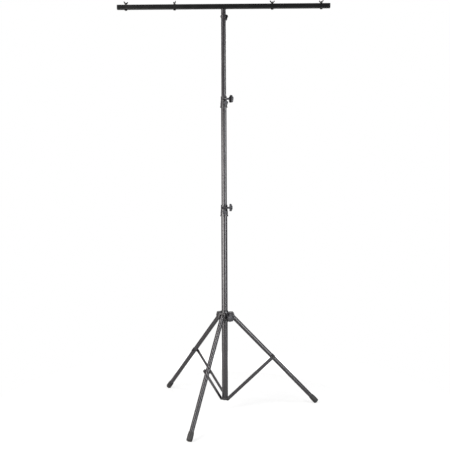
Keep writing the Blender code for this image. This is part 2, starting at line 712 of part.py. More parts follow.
def leg(number, hub_piece, materials):
    """One leg with its foot, strap, strap bolt, and the brace that folds with it."""
    angle = leg_angle(number)
    suffix = "_%d" % number
    pivot = (HUB_PIVOT_R * math.cos(angle), HUB_PIVOT_R * math.sin(angle), 0.0)
    length = LEG_REACH - FOOT_SOLE - FIT + LEG_TOP_OVER
    bm = turned([(LEG_R - LEG_WALL, 0.0), (LEG_R, 0.0), (LEG_R, length), (LEG_R - LEG_WALL, length)],
                LEG_SIDES, ring=True)
    bmesh.ops.translate(bm, verts=bm.verts, vec=(0.0, 0.0, LEG_TOP_OVER - length))
    leg_tube = make_object("leg_tube" + suffix, bm, materials["coat"])
    cut(leg_tube, rod(HUB_RIVET_D / 2 + HOLE_PLAY, (0.0, -LEG_D, 0.0), (0.0, LEG_D, 0.0)))
    cut(leg_tube, strap_hole())
    turn = Matrix.Rotation(angle, 4, "Z") @ Matrix.Rotation(-LEG_TILT, 4, "Y")
    place(leg_tube, hub_piece, pivot, turn.to_euler())
    place(rubber_foot("rubber_foot" + suffix, materials["rubber"]), leg_tube)
    place(leg_strap("leg_strap" + suffix, materials["coat"]), leg_tube)

    bolt_line = Vector((0.0, 0.0, -STRAP_DISTANCE))
    head_seat = bolt_line - Vector((0.0, BRACE_FAR + FIT, 0.0))
    bolt = make_object("strap_bolt" + suffix, strap_bolt_shape(), materials["steel"])
    place(bolt, leg_tube, head_seat, aim((0.0, -1.0, 0.0)).to_euler())
    nut_seat = bolt_line + Vector((0.0, STRAP_OUTSIDE + FIT, 0.0))
    nut = make_object("strap_nut" + suffix, nut_shape(NUT_SMALL_ACROSS, NUT_SMALL_HEIGHT, STRAP_BOLT_D),
                      materials["steel"])
    place(nut, leg_tube, nut_seat, aim((0.0, 1.0, 0.0)).to_euler())

    brace = flat_brace("brace" + suffix, materials["coat"])
    place(brace, leg_tube, bolt_line, (0.0, LEG_TILT + BRACE_TILT, 0.0))
    pin = make_object("brace_pin" + suffix, brace_pin_shape(), materials["steel"])
    place(pin, brace, (0.0, 0.0, -BRACE_LENGTH), aim((0.0, -1.0, 0.0)).to_euler())


def foot_casting(base, materials):
    """Casting plugged in the base tube's lower end, with a notched boss for each brace's pin.

    Heights here are measured from the base tube's lower end.
    """
    spigot = BASE_R - TUBE_WALL - FIT
    profile = [
        (BASE_R - CASTING_EDGE, -CASTING_BELOW_TUBE),
        (BASE_R, CASTING_EDGE - CASTING_BELOW_TUBE),
        (BASE_R, -FIT),
        (spigot, -FIT),
        (spigot, CASTING_SPIGOT),
    ]
    casting = make_object("foot_casting", turned(profile, TUBE_SIDES), materials["coat"])
    pivot_z = -BRACE_FOOT_DROP
    pin = BRACE_PIN_D / 2 + HOLE_PLAY
    notch = arc((BRACE_FOOT_R, pivot_z), pin, 0, 180, 8)
    notch += [(BRACE_FOOT_R - pin - PIN_MOUTH, pivot_z - PIN_MOUTH)]
    notch += [(BRACE_FOOT_R - pin - PIN_MOUTH, -2 * CASTING_BELOW_TUBE)]
    notch += [(BRACE_FOOT_R + pin, -2 * CASTING_BELOW_TUBE)]
    for index in range(LEG_COUNT):
        turn = Matrix.Rotation(math.tau * index / LEG_COUNT, 4, "Z")
        boss_end = (BRACE_FOOT_R, FIT - BRACE_NEAR, pivot_z)
        shape = rod(CASTING_BOSS_R, (BRACE_FOOT_R, -CASTING_NOTCH_IN / 2, pivot_z), boss_end, BOSS_SIDES)
        bmesh.ops.transform(shape, matrix=turn, verts=shape.verts)
        add(casting, shape)
        space = extruded([(x, -2 * BRACE_NEAR, z) for x, z in notch],
                         (0.0, 2 * BRACE_NEAR - CASTING_NOTCH_IN, 0.0))
        bmesh.ops.transform(space, matrix=turn, verts=space.verts)
        cut(casting, space)
    return place(casting, base)


def square_ring(size, corner):
    """Outline of a square with rounded corners, as (y, z) points about its centre."""
    half = size / 2 - corner
    points = []
    for index, (side_y, side_z) in enumerate(((1, 1), (-1, 1), (-1, -1), (1, -1))):
        points += arc((side_y * half, side_z * half), corner, 90 * index, 90 * index + 90, 3)
    return points


def square_bar(size, corner, start, end):
    """Rounded square bar along X."""
    outline = square_ring(size, corner)
    return extruded([(start, y, z) for y, z in outline], (end - start, 0.0, 0.0))


def crossbar(top, materials):
    """Square tube on a spigot, with end caps, and a bolt with a wing nut for each light."""
    half = BAR_LENGTH / 2 - BAR_CAP_FLANGE - FIT
    inside = BAR_SIZE - 2 * BAR_WALL
    inner_corner = max(BAR_CORNER - BAR_WALL, FIT)
    bar = make_object("crossbar", square_bar(BAR_SIZE, BAR_CORNER, -half, half), materials["bar"])
    cut(bar, square_bar(inside, inner_corner, -BAR_LENGTH, BAR_LENGTH))
    hole = LIGHT_BOLT_D / 2 + HOLE_PLAY
    for x in BOLT_POSITIONS:
        cut(bar, rod(hole, (x, 0.0, -BAR_SIZE), (x, 0.0, BAR_SIZE)))
    bar_z = TOP_TUBE_LENGTH + FIT + SPIGOT_FLANGE + FIT + BAR_SIZE / 2
    place(bar, top, (0.0, 0.0, bar_z), (0.0, 0.0, BAR_YAW))

    flange_r = TOP_R + SPIGOT_FLANGE_RIM
    bore = SPIGOT_R - SPIGOT_WALL
    flange_top = -BAR_SIZE / 2 - FIT
    profile = [
        (bore, flange_top - SPIGOT_FLANGE - SPIGOT_LENGTH),
        (SPIGOT_R, flange_top - SPIGOT_FLANGE - SPIGOT_LENGTH),
        (SPIGOT_R, flange_top - SPIGOT_FLANGE),
        (flange_r, flange_top - SPIGOT_FLANGE),
        (flange_r, flange_top),
        (bore, flange_top),
    ]
    spigot = make_object("bar_spigot", turned(profile, LEG_SIDES, ring=True), materials["bar"])
    place(spigot, bar)

    for number, side in enumerate((-1.0, 1.0), 1):
        end = side * BAR_LENGTH / 2
        seat = side * (half + FIT)
        tip = side * (half - BAR_CAP_PLUG)
        middle = (end + seat) / 2
        flange = square_bar(BAR_SIZE, BAR_CORNER, min(end, seat), max(end, seat))
        cap = make_object("bar_end_cap_%d" % number, flange, materials["plastic"])
        plug_size = inside - 2 * BAR_CAP_PLAY
        add(cap, square_bar(plug_size, inner_corner, min(tip, middle), max(tip, middle)))
        place(cap, bar)

    head_r = across_flats(LIGHT_BOLT_HEAD_ACROSS)
    under = -BAR_SIZE / 2 - FIT
    nut_z = BAR_SIZE / 2 + FIT
    bolt_top = nut_z + WING_FLANGE + WING_HUB_HEIGHT + LIGHT_BOLT_TAIL
    for number, x in enumerate(BOLT_POSITIONS, 1):
        head = turned([(head_r, under - LIGHT_BOLT_HEAD), (head_r, under)], HEX_SIDES)
        bolt = make_object("light_bolt_%d" % number, head, materials["steel"])
        add(bolt, rod(LIGHT_BOLT_D / 2, (0.0, 0.0, under - LIGHT_BOLT_HEAD / 2), (0.0, 0.0, bolt_top)))
        place(bolt, bar, (x, 0.0, 0.0))
        turn = math.radians(WING_TURNS[number - 1])
        place(wing_nut("wing_nut_%d" % number, materials["steel"]), bar, (x, 0.0, nut_z), (0.0, 0.0, turn))
    return bar


def wing_nut(name, material):
    """Flanged wing nut that stands on the origin, its two wings spread in a V."""
    hub_r = WING_HUB_D / 2
    hub_top = WING_FLANGE + WING_HUB_HEIGHT
    flange_r = WING_FLANGE_D / 2
    neck_r = hub_r - WING_FLANGE
    profile = [(flange_r, 0.0), (flange_r, WING_FLANGE), (hub_r, WING_FLANGE), (neck_r, hub_top)]
    nut = make_object(name, turned(profile, BOLT_SIDES), material)
    tip = WING_SPAN / 2
    root = neck_r - FIT
    for side in (-1.0, 1.0):
        wing = [
            (side * root, WING_FLANGE + FIT),
            (side * hub_r, WING_FLANGE + FIT),
            (side * tip, WING_HEIGHT - WING_TIP_WIDTH / 2),
            (side * (tip - WING_TIP_WIDTH / 3), WING_HEIGHT),
            (side * (tip - WING_TIP_WIDTH), WING_HEIGHT),
            (side * root, hub_top - FIT),
        ]
        add(nut, across(wing, WING_THICKNESS / 2))
    bore = LIGHT_BOLT_D / 2 + HOLE_PLAY
    return cut(nut, rod(bore, (0.0, 0.0, -WING_HEIGHT), (0.0, 0.0, 2 * WING_HEIGHT)))


def top_section(mid, materials):
    """Top tube, with a welded boss for the knob whose screw holds the crossbar's spigot."""
    top = tube("top_tube", TOP_R, TUBE_WALL, TOP_TUBE_LENGTH, TUBE_SIDES, materials["coat"])
    screw_z = TOP_TUBE_LENGTH - BAR_KNOB_DROP
    outward = Vector((math.cos(BAR_KNOB_YAW), math.sin(BAR_KNOB_YAW), 0.0))
    axis = Vector((0.0, 0.0, screw_z))
    root = axis + outward * (TOP_R - TUBE_WALL / 2)
    seat = axis + outward * (TOP_R + BAR_BOSS_LENGTH)
    add(top, rod(BAR_BOSS_D / 2, root, seat, BOSS_SIDES))
    cut(top, rod(KNOB_STUD_D / 2 + HOLE_PLAY, axis, seat + outward * BAR_BOSS_LENGTH))
    place(top, mid, (0.0, 0.0, MID_TUBE_LENGTH + TOP_TUBE_OUT - TOP_TUBE_LENGTH))
    reach = TOP_R + BAR_BOSS_LENGTH - SPIGOT_R - FIT
    knob_and_stud("bar", BAR_STEM, reach, top, seat, outward, materials)
    return top


def build():
    clear_scene()
    materials = {
        "coat": make_material("black powder coat", (0.045, 0.045, 0.048), 0.38, 0.0),
        "bar": make_material("black satin enamel", (0.014, 0.014, 0.015), 0.45, 0.0),
        "plastic": make_material("black nylon", (0.030, 0.030, 0.032), 0.45, 0.0),
        "rubber": make_material("black rubber", (0.020, 0.020, 0.020), 0.75, 0.0),
        "steel": make_material("blackened steel", (0.060, 0.060, 0.065), 0.35, 1.0),
    }
    base = tube("base_tube", BASE_R, TUBE_WALL, BASE_TUBE_LENGTH, TUBE_SIDES, materials["coat"])
    lower_lock_z = BASE_TUBE_LENGTH - CLAMP_SEAT + LOWER_CLAMP_HEIGHT - CLAMP_SCREW_DROP - LOWER_LOCK_DROP
    lock_hole(base, LOWER_CLAMP_YAW, lower_lock_z)
    place(base, None, (0.0, 0.0, BASE_TUBE_BOTTOM))
    foot_casting(base, materials)
    fit_clamp("lower", BASE_TUBE_LENGTH - CLAMP_SEAT, LOWER_CLAMP_YAW, LOWER_CLAMP_HEIGHT, LOWER_LOCK_DROP,
              BASE_R, MID_R, base, materials)

    hub_piece = hub(base, materials)
    for number in range(1, LEG_COUNT + 1):
        leg(number, hub_piece, materials)

    mid = tube("mid_tube", MID_R, TUBE_WALL, MID_TUBE_LENGTH, TUBE_SIDES, materials["coat"])
    upper_lock_z = MID_TUBE_LENGTH - CLAMP_SEAT + UPPER_CLAMP_HEIGHT - CLAMP_SCREW_DROP - UPPER_LOCK_DROP
    lock_hole(mid, UPPER_CLAMP_YAW, upper_lock_z)
    place(mid, base, (0.0, 0.0, BASE_TUBE_LENGTH + MID_TUBE_OUT - MID_TUBE_LENGTH))
    place(tube_plug("mid_tube_plug", BASE_R - TUBE_WALL, MID_R, materials["plastic"]), mid)
    fit_clamp("upper", MID_TUBE_LENGTH - CLAMP_SEAT, UPPER_CLAMP_YAW, UPPER_CLAMP_HEIGHT, UPPER_LOCK_DROP,
              MID_R, TOP_R, mid, materials)

    top = top_section(mid, materials)
    place(tube_plug("top_tube_plug", MID_R - TUBE_WALL, TOP_R, materials["plastic"]), top)
    crossbar(top, materials)


build()
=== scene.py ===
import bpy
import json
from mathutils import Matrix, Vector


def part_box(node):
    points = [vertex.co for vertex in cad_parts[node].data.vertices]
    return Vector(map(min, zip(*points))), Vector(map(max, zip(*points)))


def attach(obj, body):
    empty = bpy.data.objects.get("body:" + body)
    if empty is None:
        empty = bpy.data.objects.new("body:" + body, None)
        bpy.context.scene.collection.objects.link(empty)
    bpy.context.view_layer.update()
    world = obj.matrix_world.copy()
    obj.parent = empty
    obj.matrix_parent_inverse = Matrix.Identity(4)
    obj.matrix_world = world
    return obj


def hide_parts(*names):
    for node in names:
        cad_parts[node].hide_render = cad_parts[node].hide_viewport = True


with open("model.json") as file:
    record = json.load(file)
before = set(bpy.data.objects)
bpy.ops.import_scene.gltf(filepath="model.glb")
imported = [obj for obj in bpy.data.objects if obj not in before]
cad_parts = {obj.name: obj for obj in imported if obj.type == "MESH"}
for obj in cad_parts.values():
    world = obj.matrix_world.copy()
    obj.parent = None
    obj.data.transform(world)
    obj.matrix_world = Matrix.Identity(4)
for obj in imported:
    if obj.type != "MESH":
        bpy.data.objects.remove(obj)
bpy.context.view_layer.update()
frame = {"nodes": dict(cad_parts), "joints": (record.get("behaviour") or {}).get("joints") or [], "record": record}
print("solids in the frame:", len(frame["nodes"]))

# %% Bring in Blender's own modules
import collections
import json
import math

import bmesh
import bpy
from mathutils import Matrix, Vector

# %% [markdown]
# ## Measuring the frame
# The finished pieces are drawn in handy local positions: a knob stands on the origin, a leg hangs from
# it. Each is then moved to its seat on the stand. Typing those seats in would go wrong as soon as a
# size changes, so they are read from the joints and from the solids themselves.
# %% Look up what belongs to each solid
RECORD = frame["record"]
JOINTS = {joint["name"]: joint for joint in frame["joints"]}
BODY_OF = {node: body for body, nodes in RECORD["behaviour"]["bodies"].items() for node in nodes}
AHEAD = Vector((1.0, 0.0, 0.0))
ASIDE = Vector((0.0, 1.0, 0.0))
UP = Vector((0.0, 0.0, 1.0))
ORIGIN = Vector((0.0, 0.0, 0.0))


# %% Measure a joint and a solid
def joint_line(name):
    """A point on a joint's axis, and the direction of that axis."""
    joint = JOINTS[name]
    return Vector(joint["pos_m"]), Vector(joint["axis"]).normalized()


def measure(node, start=ORIGIN, axis=UP):
    """How a solid lies along a line: its lowest and highest distance, and its greatest radius."""
    along = []
    radii = []
    for vert in frame["nodes"][node].data.vertices:
        offset = vert.co - start
        along.append(offset.dot(axis))
        radii.append((offset - axis * along[-1]).length)
    return min(along), max(along), max(radii)


def middle(node):
    low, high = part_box(node)
    return (low + high) / 2


print("base tube, from, to and radius:", [round(value, 4) for value in measure("base_tube")])


# %% Make a seat from an origin and two directions
def seat(start, up, ahead):
    """A matrix that moves the origin to start, turns +Z along up, and turns +X towards ahead."""
    z_axis = up.normalized()
    y_axis = z_axis.cross(ahead).normalized()
    x_axis = y_axis.cross(z_axis)
    turn = Matrix((x_axis, y_axis, z_axis)).transposed().to_4x4()
    return Matrix.Translation(start) @ turn


def measure_in(node, place, axis=UP):
    """How a solid lies along an axis of a seat."""
    return measure(node, place.translation, place.to_3x3() @ axis)


def outward(point):
    """The level direction from the mast's axis to a point."""
    return Vector((point.x, point.y, 0.0)).normalized()


# %% [markdown]
# ## Colour and nodes
# Colours are easiest to pick as sRGB hex values, because that is what a picture shows, but a shader
# works in linear light. One function turns the first into the second. A second one adds a node, sets
# its options and fills its sockets, so that each material below reads as a short recipe.
# %% Turn an sRGB hex colour to linear
SRGB_LINEAR_PART = 0.04045      # below this, the sRGB curve is a straight line


def srgb(hex_colour):
    """Linear RGBA from a colour such as "#808080"."""
    channels = []
    for start in (1, 3, 5):
        value = int(hex_colour[start:start + 2], 16) / 255.0
        if value <= SRGB_LINEAR_PART:
            channels.append(value / 12.92)
        else:
            channels.append(((value + 0.055) / 1.055) ** 2.4)
    return (*channels, 1.0)


print("middle grey in linear light:", [round(value, 3) for value in srgb("#808080")])


# %% Add a node with its settings and links
def add_node(tree, kind, inputs=None, **settings):
    """Add a node, set its options, and fill its sockets with values or with links."""
    node = tree.nodes.new(kind)
    for name, value in settings.items():
        setattr(node, name, value)
    fill(tree, node, inputs or {})
    return node


def fill(tree, node, inputs):
    """Link each output socket that is given, and set everything else as a value."""
    for name, value in inputs.items():
        if isinstance(value, bpy.types.NodeSocket):
            tree.links.new(value, node.inputs[name])
        else:
            node.inputs[name].default_value = value


# %% [markdown]
# ## What every finish shares
# No real surface is one even colour. Paint lies a little thicker here and there, and every process
# leaves its own grain. So each finish drifts softly between two close shades, its gloss drifts with
# them, and a fine noise lifts the surface. The sizes are real ones, in metres: a noise texture whose
# scale is one over a size has spots of about that size.
# %% The base of each finish
MIX_FACTOR, MIX_A, MIX_B, MIX_RESULT = 0, 6, 7, 2      # sockets of a colour Mix node
NOISE_LOW, NOISE_HIGH = 0.3, 0.7                       # a noise seldom leaves this range
Finish = collections.namedtuple("Finish", "tree shader point colour roughness")


def base_finish(name, shades, cloud, gloss, grain, relief, values):
    """Start a material: two shades in clouds of a size, a range of roughness, and a grain with a height."""
    material = bpy.data.materials.new(name)
    material.use_nodes = True
    tree = material.node_tree
    shader = tree.nodes["Principled BSDF"]
    point = add_node(tree, "ShaderNodeTexCoord").outputs["Object"]
    clouds = add_node(tree, "ShaderNodeTexNoise", {"Vector": point, "Scale": 1 / cloud, "Detail": 3.0})
    colour = add_node(tree, "ShaderNodeMix", {
        MIX_FACTOR: clouds.outputs["Fac"],
        MIX_A: srgb(shades[0]),
        MIX_B: srgb(shades[1]),
    }, data_type="RGBA").outputs[MIX_RESULT]
    roughness = add_node(tree, "ShaderNodeMapRange", {
        "Value": clouds.outputs["Fac"],
        "From Min": NOISE_LOW,
        "From Max": NOISE_HIGH,
        "To Min": gloss[0],
        "To Max": gloss[1],
    }).outputs["Result"]
    fine = add_node(tree, "ShaderNodeTexNoise", {"Vector": point, "Scale": 1 / grain, "Detail": 2.0})
    bump = add_node(tree, "ShaderNodeBump", {"Height": fine.outputs["Fac"], "Distance": relief})
    fill(tree, shader, {"Base Color": colour, "Roughness": roughness, "Normal": bump.outputs["Normal"]})
    fill(tree, shader, values)
    return Finish(tree, shader, point, colour, roughness)


def worn(finish, mask, bare, bare_roughness):
    """Show a second colour and roughness where a mask is 1."""
    tree = finish.tree
    shown = add_node(tree, "ShaderNodeMix", {
        MIX_FACTOR: mask,
        MIX_A: finish.colour,
        MIX_B: srgb(bare),
    }, data_type="RGBA")
    rough = add_node(tree, "ShaderNodeMix", {0: mask, 2: finish.roughness, 3: bare_roughness})
    fill(tree, finish.shader, {"Base Color": shown.outputs[MIX_RESULT], "Roughness": rough.outputs[0]})


# %% Masks: where a surface wears
PATCHES = (0.42, 0.62)      # levels of a noise between which its patches begin and are whole


def edge_mask(finish, start, end, patch):
    """A mask of outer edges, broken up in patches of a size."""
    tree = finish.tree
    pointiness = add_node(tree, "ShaderNodeNewGeometry").outputs["Pointiness"]
    edges = add_node(tree, "ShaderNodeMapRange", {
        "Value": pointiness,
        "From Min": start,
        "From Max": end,
    }).outputs["Result"]
    spots = add_node(tree, "ShaderNodeTexNoise", {
        "Vector": finish.point,
        "Scale": 1 / patch,
        "Detail": 3.0,
    }).outputs["Fac"]
    some = add_node(tree, "ShaderNodeMapRange", {
        "Value": spots,
        "From Min": PATCHES[0],
        "From Max": PATCHES[1],
    }).outputs["Result"]
    return add_node(tree, "ShaderNodeMath", {0: edges, 1: some}, operation="MULTIPLY").outputs[0]


def streak_mask(finish, width, length, start, end):
    """A mask of upright streaks of a width and a length."""
    tree = finish.tree
    drawn_out = add_node(tree, "ShaderNodeMapping", {
        "Vector": finish.point,
        "Scale": (1 / width, 1 / width, 1 / length),
    }).outputs["Vector"]
    lines = add_node(tree, "ShaderNodeTexNoise", {"Vector": drawn_out, "Scale": 1.0, "Detail": 3.0})
    return add_node(tree, "ShaderNodeMapRange", {
        "Value": lines.outputs["Fac"],
        "From Min": start,
        "From Max": end,
    }).outputs["Result"]


# %% [markdown]
# ## Polyester powder coat
# The tubes, braces and castings are powder coated: dry paint is sprayed on with a charge and baked
# until it flows together. It sets as a tough skin that is never quite level, so it mirrors a lamp as a
# soft streak with a slight orange peel. Black is really a warm dark grey, and the thin clear top of the
# paint does most of the shining. An orange peel is 1 to 2 mm from crest to crest and one or two
# hundredths of a millimetre high.
# %% Powder coat on tube, and on the tubes that slide
COAT_SHEEN = {
    "IOR": 1.56,             # polyester resin
    "Coat Weight": 0.5,
    "Coat Roughness": 0.22,
    "Coat IOR": 1.5,
}
TUBE_COAT = {
    "shades": ("#242124", "#2a272b"),
    "cloud": 0.09,
    "gloss": (0.29, 0.37),
    "grain": 0.0016,         # from crest to crest of the orange peel
    "relief": 0.000015,
    "values": COAT_SHEEN,
}


def powder_coat():
    base_finish("polyester_powder_coat", **TUBE_COAT)


def rubbed_powder_coat():
    """The same coat where a guide bush slides over it. It is polished in upright lines."""
    finish = base_finish("rubbed_powder_coat", **TUBE_COAT)
    # A bush leaves hairlines of 0.1 mm. They are drawn 1.5 mm wide, because finer ones don't show.
    lines = streak_mask(finish, width=0.0015, length=0.160, start=0.56, end=0.70)
    worn(finish, lines, bare="#3f3d3c", bare_roughness=0.24)


powder_coat()
rubbed_powder_coat()

# %% [markdown]
# ## Powder coat on die castings
# The clamps, the hub and the foot are cast in aluminium. A casting's skin is rougher than drawn tube,
# and the coat pulls thin over its edges, where handling takes it down to a duller grey. Blender's
# Pointiness tells edges from flats, and a noise breaks the wear up so that it doesn't look drawn.
# %% Powder coat over a cast skin
def cast_powder_coat():
    finish = base_finish(
        "powder_coated_die_casting", shades=("#282628", "#323034"), cloud=0.02, gloss=(0.34, 0.46),
        grain=0.0011, relief=0.00008, values=COAT_SHEEN)
    edges = edge_mask(finish, start=0.56, end=0.66, patch=0.004)
    worn(finish, edges, bare="#5c5a58", bare_roughness=0.42)


cast_powder_coat()

# %% [markdown]
# ## Satin enamel
# The crossbar is sprayed with a satin black enamel. It is blacker than the coat of the mast and has
# hardly any orange peel, but a matting powder in it breaks the mirror up, so even a strong lamp only
# gives it a dull glow.
# %% Satin black enamel
def satin_enamel():
    base_finish(
        "satin_black_enamel", shades=("#0e0e0f", "#131314"), cloud=0.05, gloss=(0.28, 0.36),
        grain=0.0008, relief=0.00001, values={"IOR": 1.5})


satin_enamel()

# %% [markdown]
# ## Moulded nylon
# Hand knobs are moulded in nylon with glass fibre in it. The mould is spark eroded, which leaves an
# even, matte grain that hides fingerprints, and the grips get shiny where hands turn them. Guide
# bushes and end caps are plain nylon from a polished mould, so they are smoother and a little softer
# in colour. Spark erosion leaves pits of about 0.1 mm, drawn here at 0.5 mm so that they show.
# %% Knob nylon and guide nylon
NYLON = {"IOR": 1.53}
SPARK_GRAIN = 0.0005


def knob_nylon():
    finish = base_finish(
        "glass_filled_nylon", shades=("#303033", "#3a3a3f"), cloud=0.012, gloss=(0.46, 0.56),
        grain=SPARK_GRAIN, relief=0.00004, values=NYLON)
    grips = edge_mask(finish, start=0.53, end=0.60, patch=0.006)
    worn(finish, grips, bare="#424245", bare_roughness=0.34)


def guide_nylon():
    base_finish(
        "moulded_nylon", shades=("#1b1b1c", "#202021"), cloud=0.015, gloss=(0.36, 0.44),
        grain=SPARK_GRAIN, relief=0.00001, values=NYLON)


knob_nylon()
guide_nylon()

# %% [markdown]
# ## Moulded rubber
# The feet are soft rubber boots. Rubber is nearly black and hardly shines, and it picks up pale dust
# where it meets the floor. The dust mask is simply the height above the floor, with a ragged edge from
# a noise. It is tied to the piece, so it stays on the sole when the leg folds.
# %% Moulded rubber with a dusty sole
SOLE_DUST_TOP = 0.012       # height up to which the floor's dust clings
DUST_COVER = 0.8            # how much of the rubber the dust hides at the floor
DUST_SPECK = 0.002
DUST_PATCHES = (0.40, 0.65)


def moulded_rubber():
    finish = base_finish(
        "moulded_rubber", shades=("#242323", "#2d2b2b"), cloud=0.02, gloss=(0.50, 0.66),
        grain=0.0012, relief=0.00005, values={"IOR": 1.52})
    tree = finish.tree
    height = add_node(tree, "ShaderNodeSeparateXYZ", {"Vector": finish.point}).outputs["Z"]
    low = add_node(tree, "ShaderNodeMapRange", {
        "Value": height,
        "From Min": SOLE_DUST_TOP,
        "From Max": 0.0,
        "To Max": DUST_COVER,
    }).outputs["Result"]
    specks = add_node(tree, "ShaderNodeTexNoise", {
        "Vector": finish.point,
        "Scale": 1 / DUST_SPECK,
        "Detail": 4.0,
    }).outputs["Fac"]
    ragged = add_node(tree, "ShaderNodeMapRange", {
        "Value": specks,
        "From Min": DUST_PATCHES[0],
        "From Max": DUST_PATCHES[1],
    }).outputs["Result"]
    dust = add_node(tree, "ShaderNodeMath", {0: low, 1: ragged}, operation="MULTIPLY").outputs[0]
    worn(finish, dust, bare="#5b5854", bare_roughness=0.9)


moulded_rubber()

# %% [markdown]
# ## Black oxide steel
# Bolts, nuts, pins and studs are blackened in a hot salt bath. It only tints the steel, so this is a
# metal in the shader: its reflections are dark grey, and bare steel shows on the corners where a
# spanner has been. A metal keeps the default IOR.
# %% Black oxide steel
def black_oxide_steel():
    finish = base_finish(
        "black_oxide_steel", shades=("#3f3e3e", "#525150"), cloud=0.004, gloss=(0.34, 0.46),
        grain=0.0006, relief=0.00001, values={"Metallic": 1.0})
    corners = edge_mask(finish, start=0.55, end=0.64, patch=0.003)
    worn(finish, corners, bare="#8f8d8a", bare_roughness=0.30)


black_oxide_steel()
print("finishes:", sorted(material.name for material in bpy.data.materials if material.use_nodes))

# %% [markdown]
# ## Building shapes
# Almost everything on this stand is either turned, drawn or pressed, so one way of building does most
# of the work: a loft, which skins a row of outlines with the same number of points. Turned pieces are
# lofts of circles, the square bar is a loft of rounded squares, and a strap is a loft along a bend.
# Every loft is a closed body, so that it could be printed as well as rendered.
# %% Make an object from a mesh, and skin a row of outlines
TURN_SIDES = 96
SMALL_SIDES = 48
ON_AXIS = 0.0001            # a turned solid starts and ends this near to its axis, and is capped there


def new_object(name, bm):
    """Turn a bmesh into an object at the origin, with its faces pointing out."""
    bmesh.ops.recalc_face_normals(bm, faces=bm.faces)
    mesh = bpy.data.meshes.new(name)
    bm.to_mesh(mesh)
    bm.free()
    obj = bpy.data.objects.new(name, mesh)
    bpy.context.scene.collection.objects.link(obj)
    return obj


def loft(rings, closed=False):
    """Skin rings of points. A closed loft joins its last ring to its first, and any other is capped."""
    bm = bmesh.new()
    loops = []
    for ring in rings:
        loops.append([bm.verts.new(point) for point in ring])
    pairs = list(zip(loops, loops[1:]))
    if closed:
        pairs.append((loops[-1], loops[0]))
    else:
        bm.faces.new(loops[0])
        bm.faces.new(loops[-1])
    for first, second in pairs:
        for here in range(len(first)):
            after = (here + 1) % len(first)
            bm.faces.new((first[here], first[after], second[after], second[here]))
    return bm


# %% [markdown]
# ## Soft corners
# Nothing that is cast, moulded or sawn and painted has a perfectly sharp edge, and the thin bright
# line along an edge is what tells the eye that a thing is solid. So each corner of an outline carries
# its own radius, and a short curve takes the corner's place.
# %% Round the corners of an outline, and turn or extrude it
CORNER_STEPS = 4


def eased(corners, closed=True):
    """Round an outline's corners. Each is (x, y, radius), and a radius of 0 leaves it sharp."""
    outline = []
    for index, (x, y, radius) in enumerate(corners):
        corner = Vector((x, y))
        at_end = not closed and index in (0, len(corners) - 1)
        if radius == 0.0 or at_end:
            outline.append(corner)
            continue
        before = Vector(corners[index - 1][:2]) - corner
        after = Vector(corners[(index + 1) % len(corners)][:2]) - corner
        start = corner + before.normalized() * min(radius, before.length / 2)
        end = corner + after.normalized() * min(radius, after.length / 2)
        for step in range(CORNER_STEPS + 1):
            part = step / CORNER_STEPS
            outline.append(start.lerp(corner, part).lerp(corner.lerp(end, part), part))
    return outline


def lathe(profile, sides=TURN_SIDES, swell=None, ring=False):
    """Turn a profile of (radius, height) about Z. A swell gives the radius at an angle and a height."""
    rings = []
    for radius, height in profile:
        loop = []
        for side in range(sides):
            angle = math.tau * side / sides
            reach = swell(angle, radius, height) if swell else radius
            loop.append((reach * math.cos(angle), reach * math.sin(angle), height))
        rings.append(loop)
    return loft(rings, closed=ring)


def turned_ring(corners, sides=TURN_SIDES):
    """Turn a closed outline of (radius, height, corner's radius), which leaves the middle open."""
    return lathe(eased(corners), sides, ring=True)


def turned_solid(corners, sides=SMALL_SIDES, swell=None):
    """Turn an outline that starts and ends on the axis."""
    return lathe(eased(corners, closed=False), sides, swell)


def plate(outline, half_thickness):
    """A flat piece across Y, from an outline of (x, z) points."""
    near = [(x, -half_thickness, z) for x, z in outline]
    far = [(x, half_thickness, z) for x, z in outline]
    return loft([near, far])


def arc(centre, radius, start, end, steps):
    """Points on an arc, with its angles in degrees."""
    points = []
    for step in range(steps + 1):
        angle = math.radians(start + (end - start) * step / steps)
        points.append((centre[0] + radius * math.cos(angle), centre[1] + radius * math.sin(angle)))
    return points


# %% [markdown]
# ## Joining and drilling
# Holes and joined parts are Booleans, as in the workshop: a boss is added, a hole is drilled. A
# casting gets one more step. A real one has a fillet in every inner corner, because metal flows round
# a bend better than into a notch. A voxel remesh melts the joined parts to one skin, and a little
# smoothing rounds both the fillets and the edges.
# %% Add, drill and melt together
MOVE_TO = Matrix.Translation


def step_round(index, count):
    """One of a count of equal turns about Z."""
    return Matrix.Rotation(math.tau * index / count, 4, "Z")


def applied(obj):
    """Put the result of an object's modifiers in its mesh."""
    bpy.context.view_layer.update()
    evaluated = obj.evaluated_get(bpy.context.evaluated_depsgraph_get())
    result = bpy.data.meshes.new_from_object(evaluated)
    obj.modifiers.clear()
    used = obj.data
    obj.data = result
    bpy.data.meshes.remove(used)
    return obj


def combine(obj, bm, operation, place=Matrix.Identity(4)):
    """Apply a Boolean of an object with a shape, which can be moved into place first."""
    bmesh.ops.transform(bm, matrix=place, verts=bm.verts)
    tool = new_object("tool", bm)
    modifier = obj.modifiers.new("combine", "BOOLEAN")
    modifier.operation = operation
    modifier.solver = "EXACT"
    modifier.object = tool
    applied(obj)
    bpy.data.objects.remove(tool)
    return obj


def add(obj, bm, place=Matrix.Identity(4)):
    return combine(obj, bm, "UNION", place)


def cut(obj, bm, place=Matrix.Identity(4)):
    return combine(obj, bm, "DIFFERENCE", place)


def rod(radius, low, high, sides=SMALL_SIDES):
    return lathe([(radius, low), (radius, high)], sides)


def drill(obj, radius, start, direction, reach):
    """Drill a round hole from a point, along a direction."""
    nearly_upright = abs(direction.z) > 0.9
    ahead = AHEAD if nearly_upright else UP
    return cut(obj, rod(radius, 0.0, reach), seat(start, direction, ahead))


